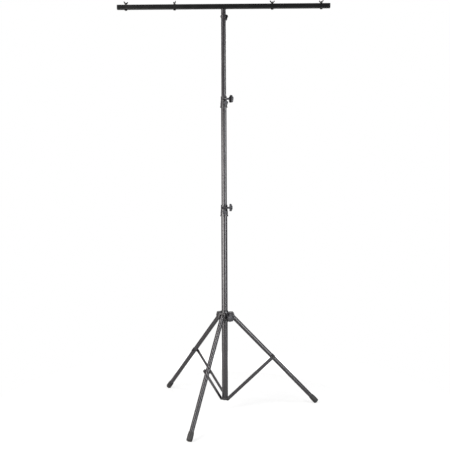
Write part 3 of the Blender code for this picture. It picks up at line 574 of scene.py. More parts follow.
def cast(obj, grain, passes):
    """Melt joined parts to one skin of square faces of a size, and smooth it."""
    skin = obj.modifiers.new("skin", "REMESH")
    skin.mode = "VOXEL"
    skin.voxel_size = grain
    soften = obj.modifiers.new("soften", "SMOOTH")
    soften.iterations = passes
    return applied(obj)


# %% [markdown]
# ## Fitting a piece to the stand
# A finished piece takes the place of its solid: it moves with the same body, gets its finish, and sits
# on its seat with its place in its vertices. Faces are shaded smooth except across sharp edges, and
# weighted normals keep big flat faces flat beside their small rounded corners.
# %% Fit a finished piece in place of its solid
SHARP_EDGE = math.radians(38.0)
PIECES = []


def shade(obj):
    obj.data.shade_smooth()
    obj.data.set_sharp_from_angle(angle=SHARP_EDGE)
    weighted = obj.modifiers.new("flat faces", "WEIGHTED_NORMAL")
    weighted.keep_sharp = True
    return applied(obj)


def fit(obj, body, finish, place=Matrix.Identity(4)):
    """Move a piece to its seat, shade it, paint it, and let it ride on a body."""
    obj.data.transform(place)
    shade(obj)
    obj.data.materials.clear()
    obj.data.materials.append(bpy.data.materials[finish])
    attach(obj, body)
    PIECES.append(obj)
    return obj


def stand_for(node, bm_or_object, finish, place=Matrix.Identity(4)):
    """Let a shape stand for a solid of the frame."""
    obj = bm_or_object
    if isinstance(obj, bmesh.types.BMesh):
        obj = new_object("piece", obj)
    obj.name = "finished_" + node
    fit(obj, BODY_OF[node], finish, place)
    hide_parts(node)
    return obj

# %% [markdown]
# ## Screws
# A screw thread is a groove that climbs one pitch for each turn. In a lathe that is a swell: the radius
# at each point depends on its height minus the share of the turn that has passed. It needs a ring of
# points every eighth of a pitch, which is why only the threaded stretch gets that many.
# %% Thread, hexagon and lobe as swells
FIT = 0.0003                # clearance between two pieces that touch
M8_PITCH = 0.00125
M6_PITCH = 0.0010
THREAD_DEPTH = 0.61         # of a metric thread, in pitches
RINGS_PER_PITCH = 8
CHAMFER_RISE = math.tan(math.radians(30.0))
HEX_FACE = 0.95             # the round face of a chamfered hexagon, in widths across its flats
LOBE_SOFTNESS = 0.015       # rounds the bottoms of the valleys between lobes


def threaded(outer, pitch):
    """The swell of a right-handed thread on a rod of an outer radius."""
    def swell(angle, radius, height):
        turn = (height / pitch - angle / math.tau) % 1.0
        groove = abs(2.0 * turn - 1.0)
        return min(radius, outer - THREAD_DEPTH * pitch * groove)
    return swell


def thread_profile(outer, pitch, low, high, chamfer_low, chamfer_high):
    """Heights close enough for a thread, with a chamfer at the ends that show."""
    depth = THREAD_DEPTH * pitch
    count = math.ceil((high - low) / pitch * RINGS_PER_PITCH)
    profile = []
    for step in range(count + 1):
        height = low + (high - low) * step / count
        from_low = height - low if chamfer_low else depth
        from_high = high - height if chamfer_high else depth
        profile.append((outer - depth + min(depth, from_low, from_high), height))
    return profile


def stud(outer, pitch, low, high):
    """A threaded rod with a chamfered tip at its lower end."""
    profile = thread_profile(outer, pitch, low, high, chamfer_low=True, chamfer_high=False)
    return lathe(profile, SMALL_SIDES // 2, threaded(outer, pitch))


def hexed(width):
    """The swell of a hexagon of a width across its flats, with a corner on +X."""
    def swell(angle, radius, height):
        past_flat = angle % (math.tau / 6) - math.pi / 6
        return min(radius, width / 2 / math.cos(past_flat))
    return swell


def hexagon(width, low, high, chamfer_low, chamfer_high):
    """A hexagon whose corners are turned down by 30 degrees, as on every rolled nut or bolt head."""
    flat = width / 2 * HEX_FACE
    corner = width / 2 / math.cos(math.pi / 6)
    chamfer = (corner - flat) * CHAMFER_RISE
    slope = []
    for step in range(CORNER_STEPS + 1):
        part = step / CORNER_STEPS
        slope.append((flat + (corner - flat) * part, chamfer * part))
    profile = [(radius, low + rise) for radius, rise in slope] if chamfer_low else [(corner, low)]
    top = [(radius, high - rise) for radius, rise in reversed(slope)] if chamfer_high else [(corner, high)]
    return lathe(profile + top, SMALL_SIDES, hexed(width))


def lobed(lobes, depth, outer):
    """The swell of a knob with round lobes, which fade out towards its middle."""
    def swell(angle, radius, height):
        valley = 1.0 - math.sqrt(math.cos(lobes * angle / 2) ** 2 + LOBE_SOFTNESS)
        share = min(1.0, radius / outer) ** 3
        return radius - 2 * depth * share * max(0.0, valley)
    return swell


print("rings of points on 10 mm of M8 thread:", round(0.010 / M8_PITCH * RINGS_PER_PITCH))

# %% [markdown]
# ## Mast tubes
# The mast is welded steel tube with a wall of 1.5 mm, cut square and deburred, so each end has a small
# rounded lip. The middle and the top tube slide in the tube below them and get the rubbed finish. The
# base tube stands still in both of its clamps and keeps the plain one.
# %% Tubes
TUBE_WALL = 0.0015
TUBE_LIP = 0.0004
LOCK_HOLE_R = 0.0033
KNOB_HOLE_R = 0.0043
STEEL_TUBES = {
    "base_tube": "polyester_powder_coat",
    "mid_tube": "rubbed_powder_coat",
    "top_tube": "rubbed_powder_coat",
}


def tube_shape(radius, low, high, sides=TURN_SIDES):
    inside = radius - TUBE_WALL
    ends = ((inside, low), (radius, low), (radius, high), (inside, high))
    return turned_ring([(*end, TUBE_LIP) for end in ends], sides)


def mast_tube(node):
    low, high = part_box(node)
    # The far side from the boss gives the radius of the bare tube
    return new_object(node + "_shape", tube_shape(-low.x, low.z, high.z))


base_tube, mid_tube, top_tube = [mast_tube(node) for node in STEEL_TUBES]
outside_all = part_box("base_tube")[1].x
for obj, joint in ((base_tube, "lower_lock_turn"), (mid_tube, "upper_lock_turn")):
    screw = joint_line(joint)[0]
    drill(obj, LOCK_HOLE_R, UP * screw.z, outward(screw), outside_all)
stand_for("base_tube", base_tube, STEEL_TUBES["base_tube"])
stand_for("mid_tube", mid_tube, STEEL_TUBES["mid_tube"])

# %% [markdown]
# ## Boss and weld on the top tube
# The knob that holds the crossbar screws into a short boss, which is welded to the tube. A hand-laid
# weld is a row of small overlapping puddles, so the bead is a rounded tube along the seam whose
# thickness pulses a little. The seam is where two cylinders meet: on a tube of radius R, a point that
# is u to the side of the boss's middle lies the root of R squared minus u squared from the axis.
# %% Weld bead along a seam
BEAD_RADIUS = 0.0013
PUDDLE = 0.0012             # from one puddle of the weld to the next
PUDDLE_SWELL = 0.00016
BEAD_SIDES = 10


def weld_shape(path, closed):
    """Skin a bead along a path of points, each ring turned to lie best on the one before."""
    rings = []
    travelled = 0.0
    for index, point in enumerate(path):
        before = path[index - 1] if closed or index > 0 else point
        after = path[(index + 1) % len(path)] if closed or index < len(path) - 1 else point
        along = (after - before).normalized()
        side = along.orthogonal().normalized()
        lift = along.cross(side)
        travelled += (point - before).length
        radius = BEAD_RADIUS + PUDDLE_SWELL * math.sin(math.tau * travelled / PUDDLE)
        ring = []
        for turn in range(BEAD_SIDES):
            angle = math.tau * turn / BEAD_SIDES
            ring.append(point + radius * (math.cos(angle) * side + math.sin(angle) * lift))
        if rings:
            first = rings[-1][0]
            nearest = min(range(BEAD_SIDES), key=lambda turn: (ring[turn] - first).length)
            ring = ring[nearest:] + ring[:nearest]
        rings.append(ring)
    return loft(rings, closed)


# %% Boss, its hole and its weld
BOSS_R = 0.007
BOSS_EDGE = 0.0008
BOSS_ROOT = 0.010           # the boss starts inside the tube, this far from its axis
SEAM_STEPS = 96
bar_knob_place, bar_knob_axis = joint_line("bar_knob_turn")
boss_middle = UP * bar_knob_place.z
top_tube_r = -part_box("top_tube")[0].x
boss_end = measure("top_tube", boss_middle, bar_knob_axis)[1]
boss_seat = seat(boss_middle, bar_knob_axis, UP)
boss = turned_solid([
    (ON_AXIS, BOSS_ROOT, 0.0),
    (BOSS_R, BOSS_ROOT, 0.0),
    (BOSS_R, boss_end, BOSS_EDGE),
    (ON_AXIS, boss_end, 0.0),
])
add(top_tube, boss, boss_seat)
drill(top_tube, KNOB_HOLE_R, boss_middle, bar_knob_axis, 2 * boss_end)
stand_for("top_tube", top_tube, STEEL_TUBES["top_tube"])

seam = []
for step in range(SEAM_STEPS):
    angle = math.tau * step / SEAM_STEPS
    across_tube = BOSS_R * math.sin(angle)
    depth = math.sqrt(top_tube_r ** 2 - across_tube ** 2)
    seam.append(boss_seat @ Vector((BOSS_R * math.cos(angle), across_tube, depth)))
boss_weld = new_object("boss_weld", weld_shape(seam, closed=True))
fit(boss_weld, "top", "powder_coated_die_casting")
print("boss stands", round((boss_end - top_tube_r) * 1000, 1), "mm off the tube")

# %% [markdown]
# ## Height clamps
# Each clamp is a die casting in steps: a flared lip, a wide seat that grips the lower tube, a narrow
# neck round the sliding tube, and two ears that the star knob's stud pulls together. The neck is split
# between the ears, or it couldn't close. A lathe gives the steps, two plates the ears, and the remesh
# gives the cast fillets where they meet.
# %% Sizes of the clamps
CLAMP_WALL = 0.0032
CLAMP_SEAT = 0.037          # depth of tube held in a clamp
CLAMP_LIP = 0.0020
CLAMP_LIP_HEIGHT = 0.006
CLAMP_STEP = 0.0010
CLAMP_STEP_HEIGHT = 0.009
NECK_WALL = 0.0019
BUSH_WALL = 0.0010
BUSH_FLANGE = 0.0015
EAR_RADIUS = 0.0065
EAR_HALF = 0.008            # from the middle of the split to the outside of an ear
SPLIT_HALF = 0.001
LOCK_BOSS_R = 0.0065
LOCK_BOSS_LENGTH = 0.0035
CAST_CORNER = 0.0006
CLAMP_GRAIN = 0.00055
EAR_STEPS = 20


# %% Clamp casting and its bush
def clamp_seat(prefix):
    """Where a clamp stands: its lip is down, its lock knob is towards +X and its star knob at +Y."""
    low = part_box(prefix + "_clamp")[0].z
    return seat(UP * low, UP, outward(joint_line(prefix + "_lock_turn")[0]))


def clamp_shape(prefix, outer_r, inner_r):
    place = clamp_seat(prefix)
    to_local = place.inverted()
    screw = to_local @ joint_line(prefix + "_clamp_turn")[0]
    lock = to_local @ joint_line(prefix + "_lock_turn")[0]
    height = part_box(prefix + "_clamp_bush")[1].z - place.translation.z
    held = outer_r + FIT
    body = held + CLAMP_WALL
    neck_in = inner_r + FIT + BUSH_WALL + FIT
    neck = neck_in + NECK_WALL
    top = height - BUSH_FLANGE - FIT
    step = CLAMP_SEAT - FIT
    edge = CAST_CORNER
    casting = new_object(prefix + "_casting", turned_ring([
        (held, 0.0, edge),
        (body + CLAMP_LIP, 0.0, edge),
        (body + CLAMP_LIP, CLAMP_LIP_HEIGHT, 2 * edge),
        (body, CLAMP_LIP_HEIGHT + CLAMP_LIP, 2 * edge),
        (body, step - CLAMP_STEP_HEIGHT, edge),
        (body - CLAMP_STEP, step - CLAMP_STEP_HEIGHT + CLAMP_STEP, edge),
        (body - CLAMP_STEP, step, 2 * edge),
        (neck, step + CLAMP_STEP, 4 * edge),
        (neck, top, edge),
        (neck_in, top, 0.0),
        (neck_in, CLAMP_SEAT + FIT, 0.0),
        (held, CLAMP_SEAT + FIT, 0.0),
    ]))
    root = (neck_in + neck) / 2
    ears = arc((screw.x, screw.z), EAR_RADIUS, 90, -90, EAR_STEPS)
    ears += [(root, screw.z - EAR_RADIUS - CLAMP_LIP), (root, screw.z + EAR_RADIUS + CLAMP_LIP / 2)]
    add(casting, plate(ears, EAR_HALF))
    lock_end = body + LOCK_BOSS_LENGTH
    add(casting, rod(LOCK_BOSS_R, held + CLAMP_WALL / 2, lock_end), seat(UP * lock.z, AHEAD, UP))
    split_low = CLAMP_SEAT + CLAMP_STEP + FIT
    split = [(0.0, split_low), (2 * screw.x, split_low), (2 * screw.x, 2 * height), (0.0, 2 * height)]
    cut(casting, plate(split, SPLIT_HALF))
    cast(casting, CLAMP_GRAIN, passes=5)
    # The holes are drilled after casting, so they stay crisp
    drill(casting, KNOB_HOLE_R, Vector((screw.x, -2 * EAR_HALF, screw.z)), ASIDE, 4 * EAR_HALF)
    drill(casting, LOCK_HOLE_R, UP * lock.z, AHEAD, 2 * lock_end)
    stand_for(prefix + "_clamp", casting, "powder_coated_die_casting", place)

    bush_in = inner_r + FIT
    bush_out = bush_in + BUSH_WALL
    bush = turned_ring([
        (bush_in, CLAMP_SEAT + 2 * FIT, 0.0),
        (bush_out, CLAMP_SEAT + 2 * FIT, 0.0),
        (bush_out, top + FIT, 0.0),
        (neck - FIT, top + FIT, FIT),
        (neck - FIT, height, 2 * FIT),
        (bush_in, height, FIT),
    ])
    stand_for(prefix + "_clamp_bush", bush, "moulded_nylon", place)


base_tube_r = -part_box("base_tube")[0].x
mid_tube_r = -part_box("mid_tube")[0].x
clamp_shape("lower", base_tube_r, mid_tube_r)
clamp_shape("upper", mid_tube_r, top_tube_r)
print("faces in a clamp:", len(PIECES[-2].data.polygons))

# %% [markdown]
# ## Star knobs
# A star knob is moulded with a hollow back to save plastic and to keep the wall even, because a thick
# lump would sink as it cools. Ribs tie the rim to the stem inside. The front is crowned with a flat
# middle. The lobes are the swell of a lathe: round outside, with narrower valleys between them for the
# fingers.
# %% Sizes of the knobs
KNOB_LOBES = 5
KNOB_LOBE_DEPTH = 0.0026
KNOB_THICKNESS = 0.012
KNOB_DOME = 0.005
KNOB_DOME_RIM_R = 0.0124
KNOB_DOME_TOP_R = 0.0090
KNOB_WALL = 0.0035
KNOB_RECESS = 0.007
KNOB_STEM_R = 0.006
KNOB_RIB_HALF = 0.0008
STUD_HOLD = 0.014           # how deep a stud is moulded in its knob
STUD_R = 0.004
MOULD_EDGE = 0.0006
KNOB_SIDES = 120
STAR_KNOBS = {
    "lower_clamp": "lower_clamp_turn",
    "upper_clamp": "upper_clamp_turn",
    "hub": "hub_knob_turn",
    "bar": "bar_knob_turn",
}


# %% Knob and its stud
def star_knob(prefix, joint):
    """A knob whose stem stands on its seat, drawn with its face towards +Z, and its stud."""
    knob, screw = prefix + "_knob", prefix + "_screw"
    point, axis = joint_line(joint)
    low, high, outer = measure(knob, point, axis)
    place = seat(point + axis * (low - FIT), axis, UP)
    front = high - low + FIT - KNOB_DOME
    stem = front - KNOB_THICKNESS
    inner = outer - KNOB_WALL
    edge = MOULD_EDGE
    back = stem + KNOB_RECESS
    body = new_object(prefix + "_knob_shape", turned_solid([
        (STUD_R + FIT, STUD_HOLD + FIT, 0.0),
        (STUD_R + FIT, FIT, 0.0),
        (KNOB_STEM_R, FIT, edge),
        (KNOB_STEM_R, back, 2 * edge),
        (inner, back, 2 * edge),
        (inner, stem, edge),
        (outer - edge, stem, edge),
        (outer, stem + 2 * edge, 2 * edge),
        (outer, front - KNOB_DOME / 2, 4 * edge),
        (outer - KNOB_DOME / 2, front, 4 * edge),
        (KNOB_DOME_RIM_R, front + KNOB_DOME / 2, 4 * edge),
        (KNOB_DOME_TOP_R, front + KNOB_DOME, 2 * edge),
        (ON_AXIS, front + KNOB_DOME, 0.0),
    ], KNOB_SIDES, lobed(KNOB_LOBES, KNOB_LOBE_DEPTH, outer)))
    rib = [(KNOB_STEM_R - edge, stem + edge), (inner + edge, stem + edge),
           (inner + edge, back + edge), (KNOB_STEM_R - edge, back + edge)]
    for index in range(KNOB_LOBES):
        add(body, plate(rib, KNOB_RIB_HALF), step_round(index, KNOB_LOBES))
    stand_for(knob, body, "glass_filled_nylon", place)
    tail = measure(screw, place.translation, axis)[0]
    stand_for(screw, stud(STUD_R, M8_PITCH, tail, STUD_HOLD), "black_oxide_steel", place)
    return 2 * outer


for prefix, joint in STAR_KNOBS.items():
    knob_width = star_knob(prefix, joint)
print("star knobs:", len(STAR_KNOBS), "of", round(knob_width * 1000), "mm")

# %% [markdown]
# ## Lock knobs
# Below each star knob sits a smaller knob that only stops the tube from turning while it is raised. It
# is moulded straight on its M6 stud and has a round boss in its face, where the mould is filled. The
# steel stud is a piece of its own here, because plastic and steel don't share a finish.
# %% Lock knob on its stud
LOCK_LOBE_DEPTH = 0.0018
LOCK_STEM = 0.003
LOCK_STEM_R = 0.005
LOCK_STUD_R = 0.003
LOCK_FACE_R = 0.0062


def lock_knob(prefix):
    node = prefix + "_lock_knob"
    point, axis = joint_line(prefix + "_lock_turn")
    tail, high, outer = measure(node, point, axis)
    # The joint's point is the seat on the clamp's boss
    place = seat(point, axis, UP)
    edge = MOULD_EDGE
    stem = FIT + LOCK_STEM
    knob = turned_solid([
        (LOCK_STUD_R, FIT, 0.0),
        (LOCK_STEM_R, FIT, edge / 2),
        (LOCK_STEM_R, stem, edge),
        (outer - 2 * edge, stem, edge),
        (outer, stem + 3 * edge, 3 * edge),
        (outer, high - 3 * edge, 3 * edge),
        (outer - 3 * edge, high - edge, 2 * edge),
        (LOCK_FACE_R + edge, high - edge, edge),
        (LOCK_FACE_R, high, edge),
        (ON_AXIS, high, 0.0),
    ], KNOB_SIDES, lobed(KNOB_LOBES, LOCK_LOBE_DEPTH, outer))
    stand_for(node, knob, "glass_filled_nylon", place)
    lock_stud = new_object(prefix + "_lock_stud", stud(LOCK_STUD_R, M6_PITCH, tail, FIT))
    fit(lock_stud, BODY_OF[node], "black_oxide_steel", place)
    return tail


for prefix in ("lower", "upper"):
    stud_tail = lock_knob(prefix)
print("lock stud reaches in:", round(-stud_tail * 1000, 1), "mm")

# %% [markdown]
# ## Hexagon nuts of the clamps
# On the far side of each clamp a nut takes the stud of the star knob. Its bore has the clearance of the
# thread, and both of its faces are chamfered, so it can be put on either way round.
# %% Clamp nuts
CLAMP_NUT_ACROSS = 0.013


def nut_shape(width, low, high, bore):
    nut = new_object("nut_shape", hexagon(width, low, high, chamfer_low=True, chamfer_high=True))
    return cut(nut, rod(bore, low - bore, high + bore))


for prefix in ("lower", "upper"):
    node = prefix + "_clamp_nut"
    point, axis = joint_line(prefix + "_clamp_turn")
    low, high = measure(node, point, -axis)[:2]
    nut = nut_shape(CLAMP_NUT_ACROSS, low, high, KNOB_HOLE_R)
    stand_for(node, nut, "black_oxide_steel", seat(point, -axis, UP))
print("clamp nut height:", round((high - low) * 1000, 2), "mm")

# %% [markdown]
# ## Guide plugs
# A nylon plug in the lower end of each sliding tube keeps it centred in the tube below. Nobody sees
# these two, but they show when the mast is taken apart, so they get their own rounded edges too.
# %% Guide plugs in the sliding tubes
PLUG_WALL = 0.003
PLUG_HEIGHT = 0.010
PLUG_EDGE = 0.0005


def guide_plug(node, tube_r):
    low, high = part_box(node)
    head = (high.x - low.x) / 2
    spigot = tube_r - TUBE_WALL - FIT
    bore = spigot - PLUG_WALL
    shoulder = low.z + PLUG_HEIGHT
    stand_for(node, turned_ring([
        (bore, low.z, PLUG_EDGE),
        (head, low.z, PLUG_EDGE),
        (head, shoulder, PLUG_EDGE),
        (spigot, shoulder, 0.0),
        (spigot, high.z, PLUG_EDGE),
        (bore, high.z, PLUG_EDGE),
    ]), "moulded_nylon")
    return high.z - low.z


guide_plug("mid_tube_plug", mid_tube_r)
plug_length = guide_plug("top_tube_plug", top_tube_r)
print("guide plug length:", round(plug_length * 1000, 1), "mm")

# %% [markdown]
# ## Leg hub
# The hub slides on the base tube and carries the legs. Each leg hangs in a hood: a roof over the leg's
# end with a cheek on each side, open below so that the leg can fold down beside the mast. A short boss
# on one side takes the hub's star knob. On top, the casting tapers in to the tube, and the collar of
# its nylon bush carries the taper on.
# %% Hub casting
HUB_WALL = 0.0027
HUB_BUSH_WALL = 0.0012
HUB_NECK_WALL = 0.0010
HUB_COLLAR = 0.0060
HUB_COLLAR_WALL = 0.0008
HUB_SHOULDER = 0.0190       # from the pivots up to where the hub starts to taper
HOOD_ABOVE = 0.0222         # from the pivots up to the hoods' tops
HOOD_END_RADIUS = 0.0135
HOOD_END_FROM = 20          # degrees above level where a hood's round end starts
HOOD_WALL = 0.004
HOOD_PLAY = 0.00075
HOOD_STEPS = 24
HUB_BOSS_R = 0.0085
HUB_BOSS_LENGTH = 0.010
HUB_PIN_HOLE_R = 0.0043
HUB_GRAIN = 0.0007
LEGS = (1, 2, 3)

pivot_1 = joint_line("leg_fold_1")[0]
leg_r = measure("leg_tube_1", pivot_1, (pivot_1 - middle("leg_tube_1")).normalized())[2]
pivot_r = Vector((pivot_1.x, pivot_1.y)).length
hub_place = seat(UP * pivot_1.z, UP, AHEAD)
hub_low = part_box("hub_casting")[0].z - pivot_1.z
hub_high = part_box("hub_bush")[1].z - pivot_1.z
hub_top = hub_high - HUB_COLLAR - FIT
hub_bush_in = base_tube_r + FIT
hub_bush_out = hub_bush_in + HUB_BUSH_WALL
sleeve_in = hub_bush_out + FIT
sleeve = sleeve_in + HUB_WALL
hub_neck = sleeve_in + HUB_NECK_WALL
hub_knob_place, hub_knob_axis = joint_line("hub_knob_turn")
hub_knob_start = UP * (hub_knob_place.z - pivot_1.z)


def hub_casting():
    edge = CAST_CORNER
    casting = new_object("hub_shape", turned_ring([
        (sleeve_in, hub_low, 0.0),
        (sleeve, hub_low, 2 * edge),
        (sleeve, HUB_SHOULDER, 4 * edge),
        (hub_neck, hub_top, edge / 2),
        (sleeve_in, hub_top, 0.0),
    ]))
    slot = leg_r + HOOD_PLAY
    hood = slot + HOOD_WALL
    root = (sleeve_in + sleeve) / 2
    roof = HOOD_ABOVE - HOOD_WALL
    outline = [(root, HOOD_ABOVE), (pivot_r + HOOD_END_RADIUS / 2, HOOD_ABOVE)]
    outline += arc((pivot_r, 0.0), HOOD_END_RADIUS, HOOD_END_FROM, -90, HOOD_STEPS)
    outline += [(root, -HOOD_END_RADIUS - HOOD_WALL)]
    beyond = pivot_r + 2 * HOOD_END_RADIUS
    space = [(sleeve, 2 * hub_low), (beyond, 2 * hub_low), (beyond, roof), (sleeve, roof)]
    turns = [step_round(index, len(LEGS)) for index in range(len(LEGS))]
    for turn in turns:
        add(casting, plate(outline, hood), turn)
        cut(casting, plate(space, slot), turn)
    boss_high = sleeve + HUB_BOSS_LENGTH
    knob_boss = rod(HUB_BOSS_R, sleeve_in + HUB_WALL / 2, boss_high)
    add(casting, knob_boss, seat(hub_knob_start, hub_knob_axis, UP))
    cast(casting, HUB_GRAIN, passes=6)
    for turn in turns:
        start = turn @ Vector((pivot_r, -2 * hood, 0.0))
        drill(casting, HUB_PIN_HOLE_R, start, turn @ ASIDE, 4 * hood)
    drill(casting, KNOB_HOLE_R, hub_knob_start, hub_knob_axis, 2 * boss_high)
    stand_for("hub_casting", casting, "powder_coated_die_casting", hub_place)


def hub_bush():
    bush = new_object("bush_shape", turned_ring([
        (hub_bush_in, hub_low, 0.0),
        (hub_bush_out, hub_low, 0.0),
        (hub_bush_out, hub_top + FIT, 0.0),
        (hub_neck - FIT, hub_top + FIT, FIT),
        (hub_bush_in + HUB_COLLAR_WALL, hub_high, FIT),
        (hub_bush_in, hub_high, 0.0),
    ]))
    drill(bush, KNOB_HOLE_R, hub_knob_start, hub_knob_axis, 2 * sleeve)
    stand_for("hub_bush", bush, "moulded_nylon", hub_place)


hub_casting()
hub_bush()
print("faces in the hub:", len(PIECES[-2].data.polygons))

# %% [markdown]
# ## Rivets
# The legs turn on riveted pins. A rivet has a head on both sides, pressed to a low dome when it is set.
# It is a lathe whose ends are flat arcs.
# %% Riveted pins
RIVET_STEPS = 6
DOME_RIM = 0.35             # height at which a head's dome starts, in heights of the head


def domed_head(head_r, seat_height, top):
    """Profile of a low domed head, from the shank's side to the middle of its top."""
    head = top - seat_height
    edge = head / 4
    profile = [(head_r - edge, seat_height), (head_r, seat_height + edge)]
    for step in range(RIVET_STEPS):
        part = step / RIVET_STEPS
        radius = head_r * math.cos(part * math.pi / 2) ** 0.5
        profile.append((radius, seat_height + head * (DOME_RIM + (1.0 - DOME_RIM) * part)))
    return profile + [(ON_AXIS, top)]


def rivet(node, point, axis, grip, shank_r):
    """A pin along +Z, with a low domed head at each end."""
    high, head_r = measure(node, point, axis)[1:]
    upper = [(shank_r, grip)] + domed_head(head_r, grip, high)
    lower = [(radius, -height) for radius, height in reversed(upper)]
    stand_for(node, lathe(lower + upper, SMALL_SIDES), "black_oxide_steel", seat(point, axis, UP))


hood_side = leg_r + HOOD_PLAY + HOOD_WALL + FIT
for number in LEGS:
    rivet("hub_pivot_pin_%d" % number, *joint_line("leg_fold_%d" % number), hood_side, HUB_PIN_HOLE_R - FIT)
print("rivets grip", round(2 * hood_side * 1000, 1), "mm")

# %% [markdown]
# ## Legs
# A leg is straight 25 mm tube, pinned in its hood. In the scene it is drawn hanging down from its pivot
# along -Z, with +X as its outer side and +Y along the pin. The frame gives that seat: the tube's middle
# and its pivot are two points on its axis.
# %% Leg seats and leg tubes
LEG_SIDES = 64
BOLT_HOLE_R = 0.0033
CROSSWAYS = Matrix.Rotation(math.pi / 2, 4, "X")


def leg_seat(number):
    pivot = joint_line("leg_fold_%d" % number)[0]
    along = (pivot - middle("leg_tube_%d" % number)).normalized()
    sideways = UP.cross(outward(pivot))
    return seat(pivot, along, sideways.cross(along))


LEG_SEATS = {number: leg_seat(number) for number in LEGS}


def brace_fold_in_leg(number):
    """Where the brace's upper pivot is, seen from the leg's own seat."""
    return LEG_SEATS[number].inverted() @ joint_line("brace_fold_%d" % number)[0]


for number, place in LEG_SEATS.items():
    node = "leg_tube_%d" % number
    low, high, radius = measure_in(node, place)
    leg_tube = new_object("leg_shape", tube_shape(radius, low, high, LEG_SIDES))
    bolt_hole = MOVE_TO(brace_fold_in_leg(number)) @ CROSSWAYS
    cut(leg_tube, rod(HUB_PIN_HOLE_R, -2 * radius, 2 * radius), CROSSWAYS)
    cut(leg_tube, rod(BOLT_HOLE_R, -2 * radius, 2 * radius), bolt_hole)
    stand_for(node, leg_tube, "polyester_powder_coat", place)
leg_tilt = (place.to_3x3() @ UP).angle(UP)
print("legs stand", round(math.degrees(leg_tilt), 1), "degrees from upright")

# %% [markdown]
# ## Rubber feet
# Each leg ends in a moulded boot. Its sole is thick, its wall thins towards a stretched mouth with a
# small bead, and the whole boot is a little wider than the leg. The leg stands at a slant, so the boot
# rests on its rounded rim, which the weight presses flat: the mesh is cut by the floor there.
# %% Rubber boots
FOOT_WALL = 0.003
FOOT_SOLE = 0.006
FOOT_ROUND = 0.005
FOOT_TAPER = 0.013
FOOT_SHOULDER = 0.004       # how softly the taper runs into the wall
FOOT_MOUTH_WALL = 0.0012
FOOT_MOUTH_LIP = 0.0004
FOOT_BEAD = 0.0006
FOOT_BEAD_HEIGHT = 0.0025
FOOT_RING_DROP = 0.0165
FOOT_RING_EDGE = 0.0002
FOOT_STEPS = 12


def rubber_boot(number):
    node = "rubber_foot_%d" % number
    place = LEG_SEATS[number]
    high = measure_in(node, place)[1]
    tube_end = measure_in("leg_tube_%d" % number, place)[0]
    sole = tube_end - FIT - FOOT_SOLE
    inside = leg_r + FIT
    outside = inside + FOOT_WALL
    mouth = inside + FOOT_MOUTH_WALL
    ring = high - FOOT_RING_DROP
    profile = eased([
        (ON_AXIS, sole + FOOT_SOLE, 0.0),
        (inside, sole + FOOT_SOLE, 0.0),
        (inside, high, FOOT_MOUTH_LIP),
        (mouth + FOOT_BEAD, high, FOOT_BEAD),
        (mouth + FOOT_BEAD, high - FOOT_BEAD_HEIGHT, FOOT_BEAD),
        (mouth, high - FOOT_BEAD_HEIGHT - FOOT_BEAD, FOOT_BEAD),
        (outside, high - FOOT_TAPER, FOOT_SHOULDER),
        (outside, ring, FOOT_RING_EDGE),
        (outside - FOOT_BEAD, ring - FOOT_BEAD / 2, FOOT_RING_EDGE),
        (outside, ring - FOOT_BEAD, FOOT_RING_EDGE),
        (outside, sole + FOOT_ROUND, 0.0),
    ], closed=False)
    profile += arc((outside - FOOT_ROUND, sole + FOOT_ROUND), FOOT_ROUND, 0, -90, FOOT_STEPS)[1:]
    profile.append((ON_AXIS, sole))
    boot = lathe(profile)
    bmesh.ops.transform(boot, matrix=place, verts=boot.verts)
    everything = list(boot.verts) + list(boot.edges) + list(boot.faces)
    bmesh.ops.bisect_plane(boot, geom=everything, plane_co=ORIGIN, plane_no=UP, clear_inner=True)
    bmesh.ops.holes_fill(boot, edges=[side for side in boot.edges if side.is_boundary])
    stand_for(node, boot, "moulded_rubber")


for number in LEGS:
    rubber_boot(number)
print("lowest point of a boot:", round(min(vert.co.z for vert in PIECES[-1].data.vertices), 6))

# %% [markdown]
# ## Straps
# A strap of 2 mm steel is bent over the outer side of each leg, where the brace's bolt passes, so that
# the bolt doesn't tear the thin tube. Bent strip is a loft along the bend: each ring is a cross-section
# of the strip, and near an end the rings get narrower along a circle, which rounds the strap's corners.
# On the brace's side the strap is pressed out to a seat, which keeps the brace clear of the leg.
# %% Strap bent over a leg
STRAP_THICKNESS = 0.002
STRAP_CORNER = 0.007
STRAP_EDGE = 0.0004
STRAP_END = 0.010
STRAP_BEND_STEPS = 48
STRAP_END_STEPS = 8
STRAP_SEAT_R = 0.0065
STRAP_SEAT_FLARE = 0.0015


def strip_section(centre, normal, middle_z, half_width):
    """A strip's cross-section: across its thickness, which is along normal, and its width."""
    half = STRAP_THICKNESS / 2
    corners = ((-half, -half_width), (half, -half_width), (half, half_width), (-half, half_width))
    outline = eased([(*corner, STRAP_EDGE) for corner in corners])
    return [(centre[0] + normal[0] * u, centre[1] + normal[1] * u, middle_z + v) for u, v in outline]


def strap_rings(hinge, width, middle_r):
    """The strip's cross-sections along its bend, narrower towards both ends."""
    end = hinge.x - STRAP_END
    path = []
    for step in range(STRAP_END_STEPS + 1):
        turn = math.pi / 2 * step / STRAP_END_STEPS
        path.append((end + STRAP_CORNER * (1.0 - math.cos(turn)), STRAP_CORNER * (1.0 - math.sin(turn))))
    first = [strip_section((x, middle_r), (0.0, 1.0), hinge.z, width / 2 - trim) for x, trim in path]
    bend = []
    for step in range(STRAP_BEND_STEPS + 1):
        turn = math.pi / 2 - math.pi * step / STRAP_BEND_STEPS
        normal = (math.cos(turn), math.sin(turn))
        centre = (middle_r * normal[0], middle_r * normal[1])
        bend.append(strip_section(centre, normal, hinge.z, width / 2))
    last = [strip_section((x, -middle_r), (0.0, -1.0), hinge.z, width / 2 - trim)
            for x, trim in reversed(path)]
    return first + bend + last


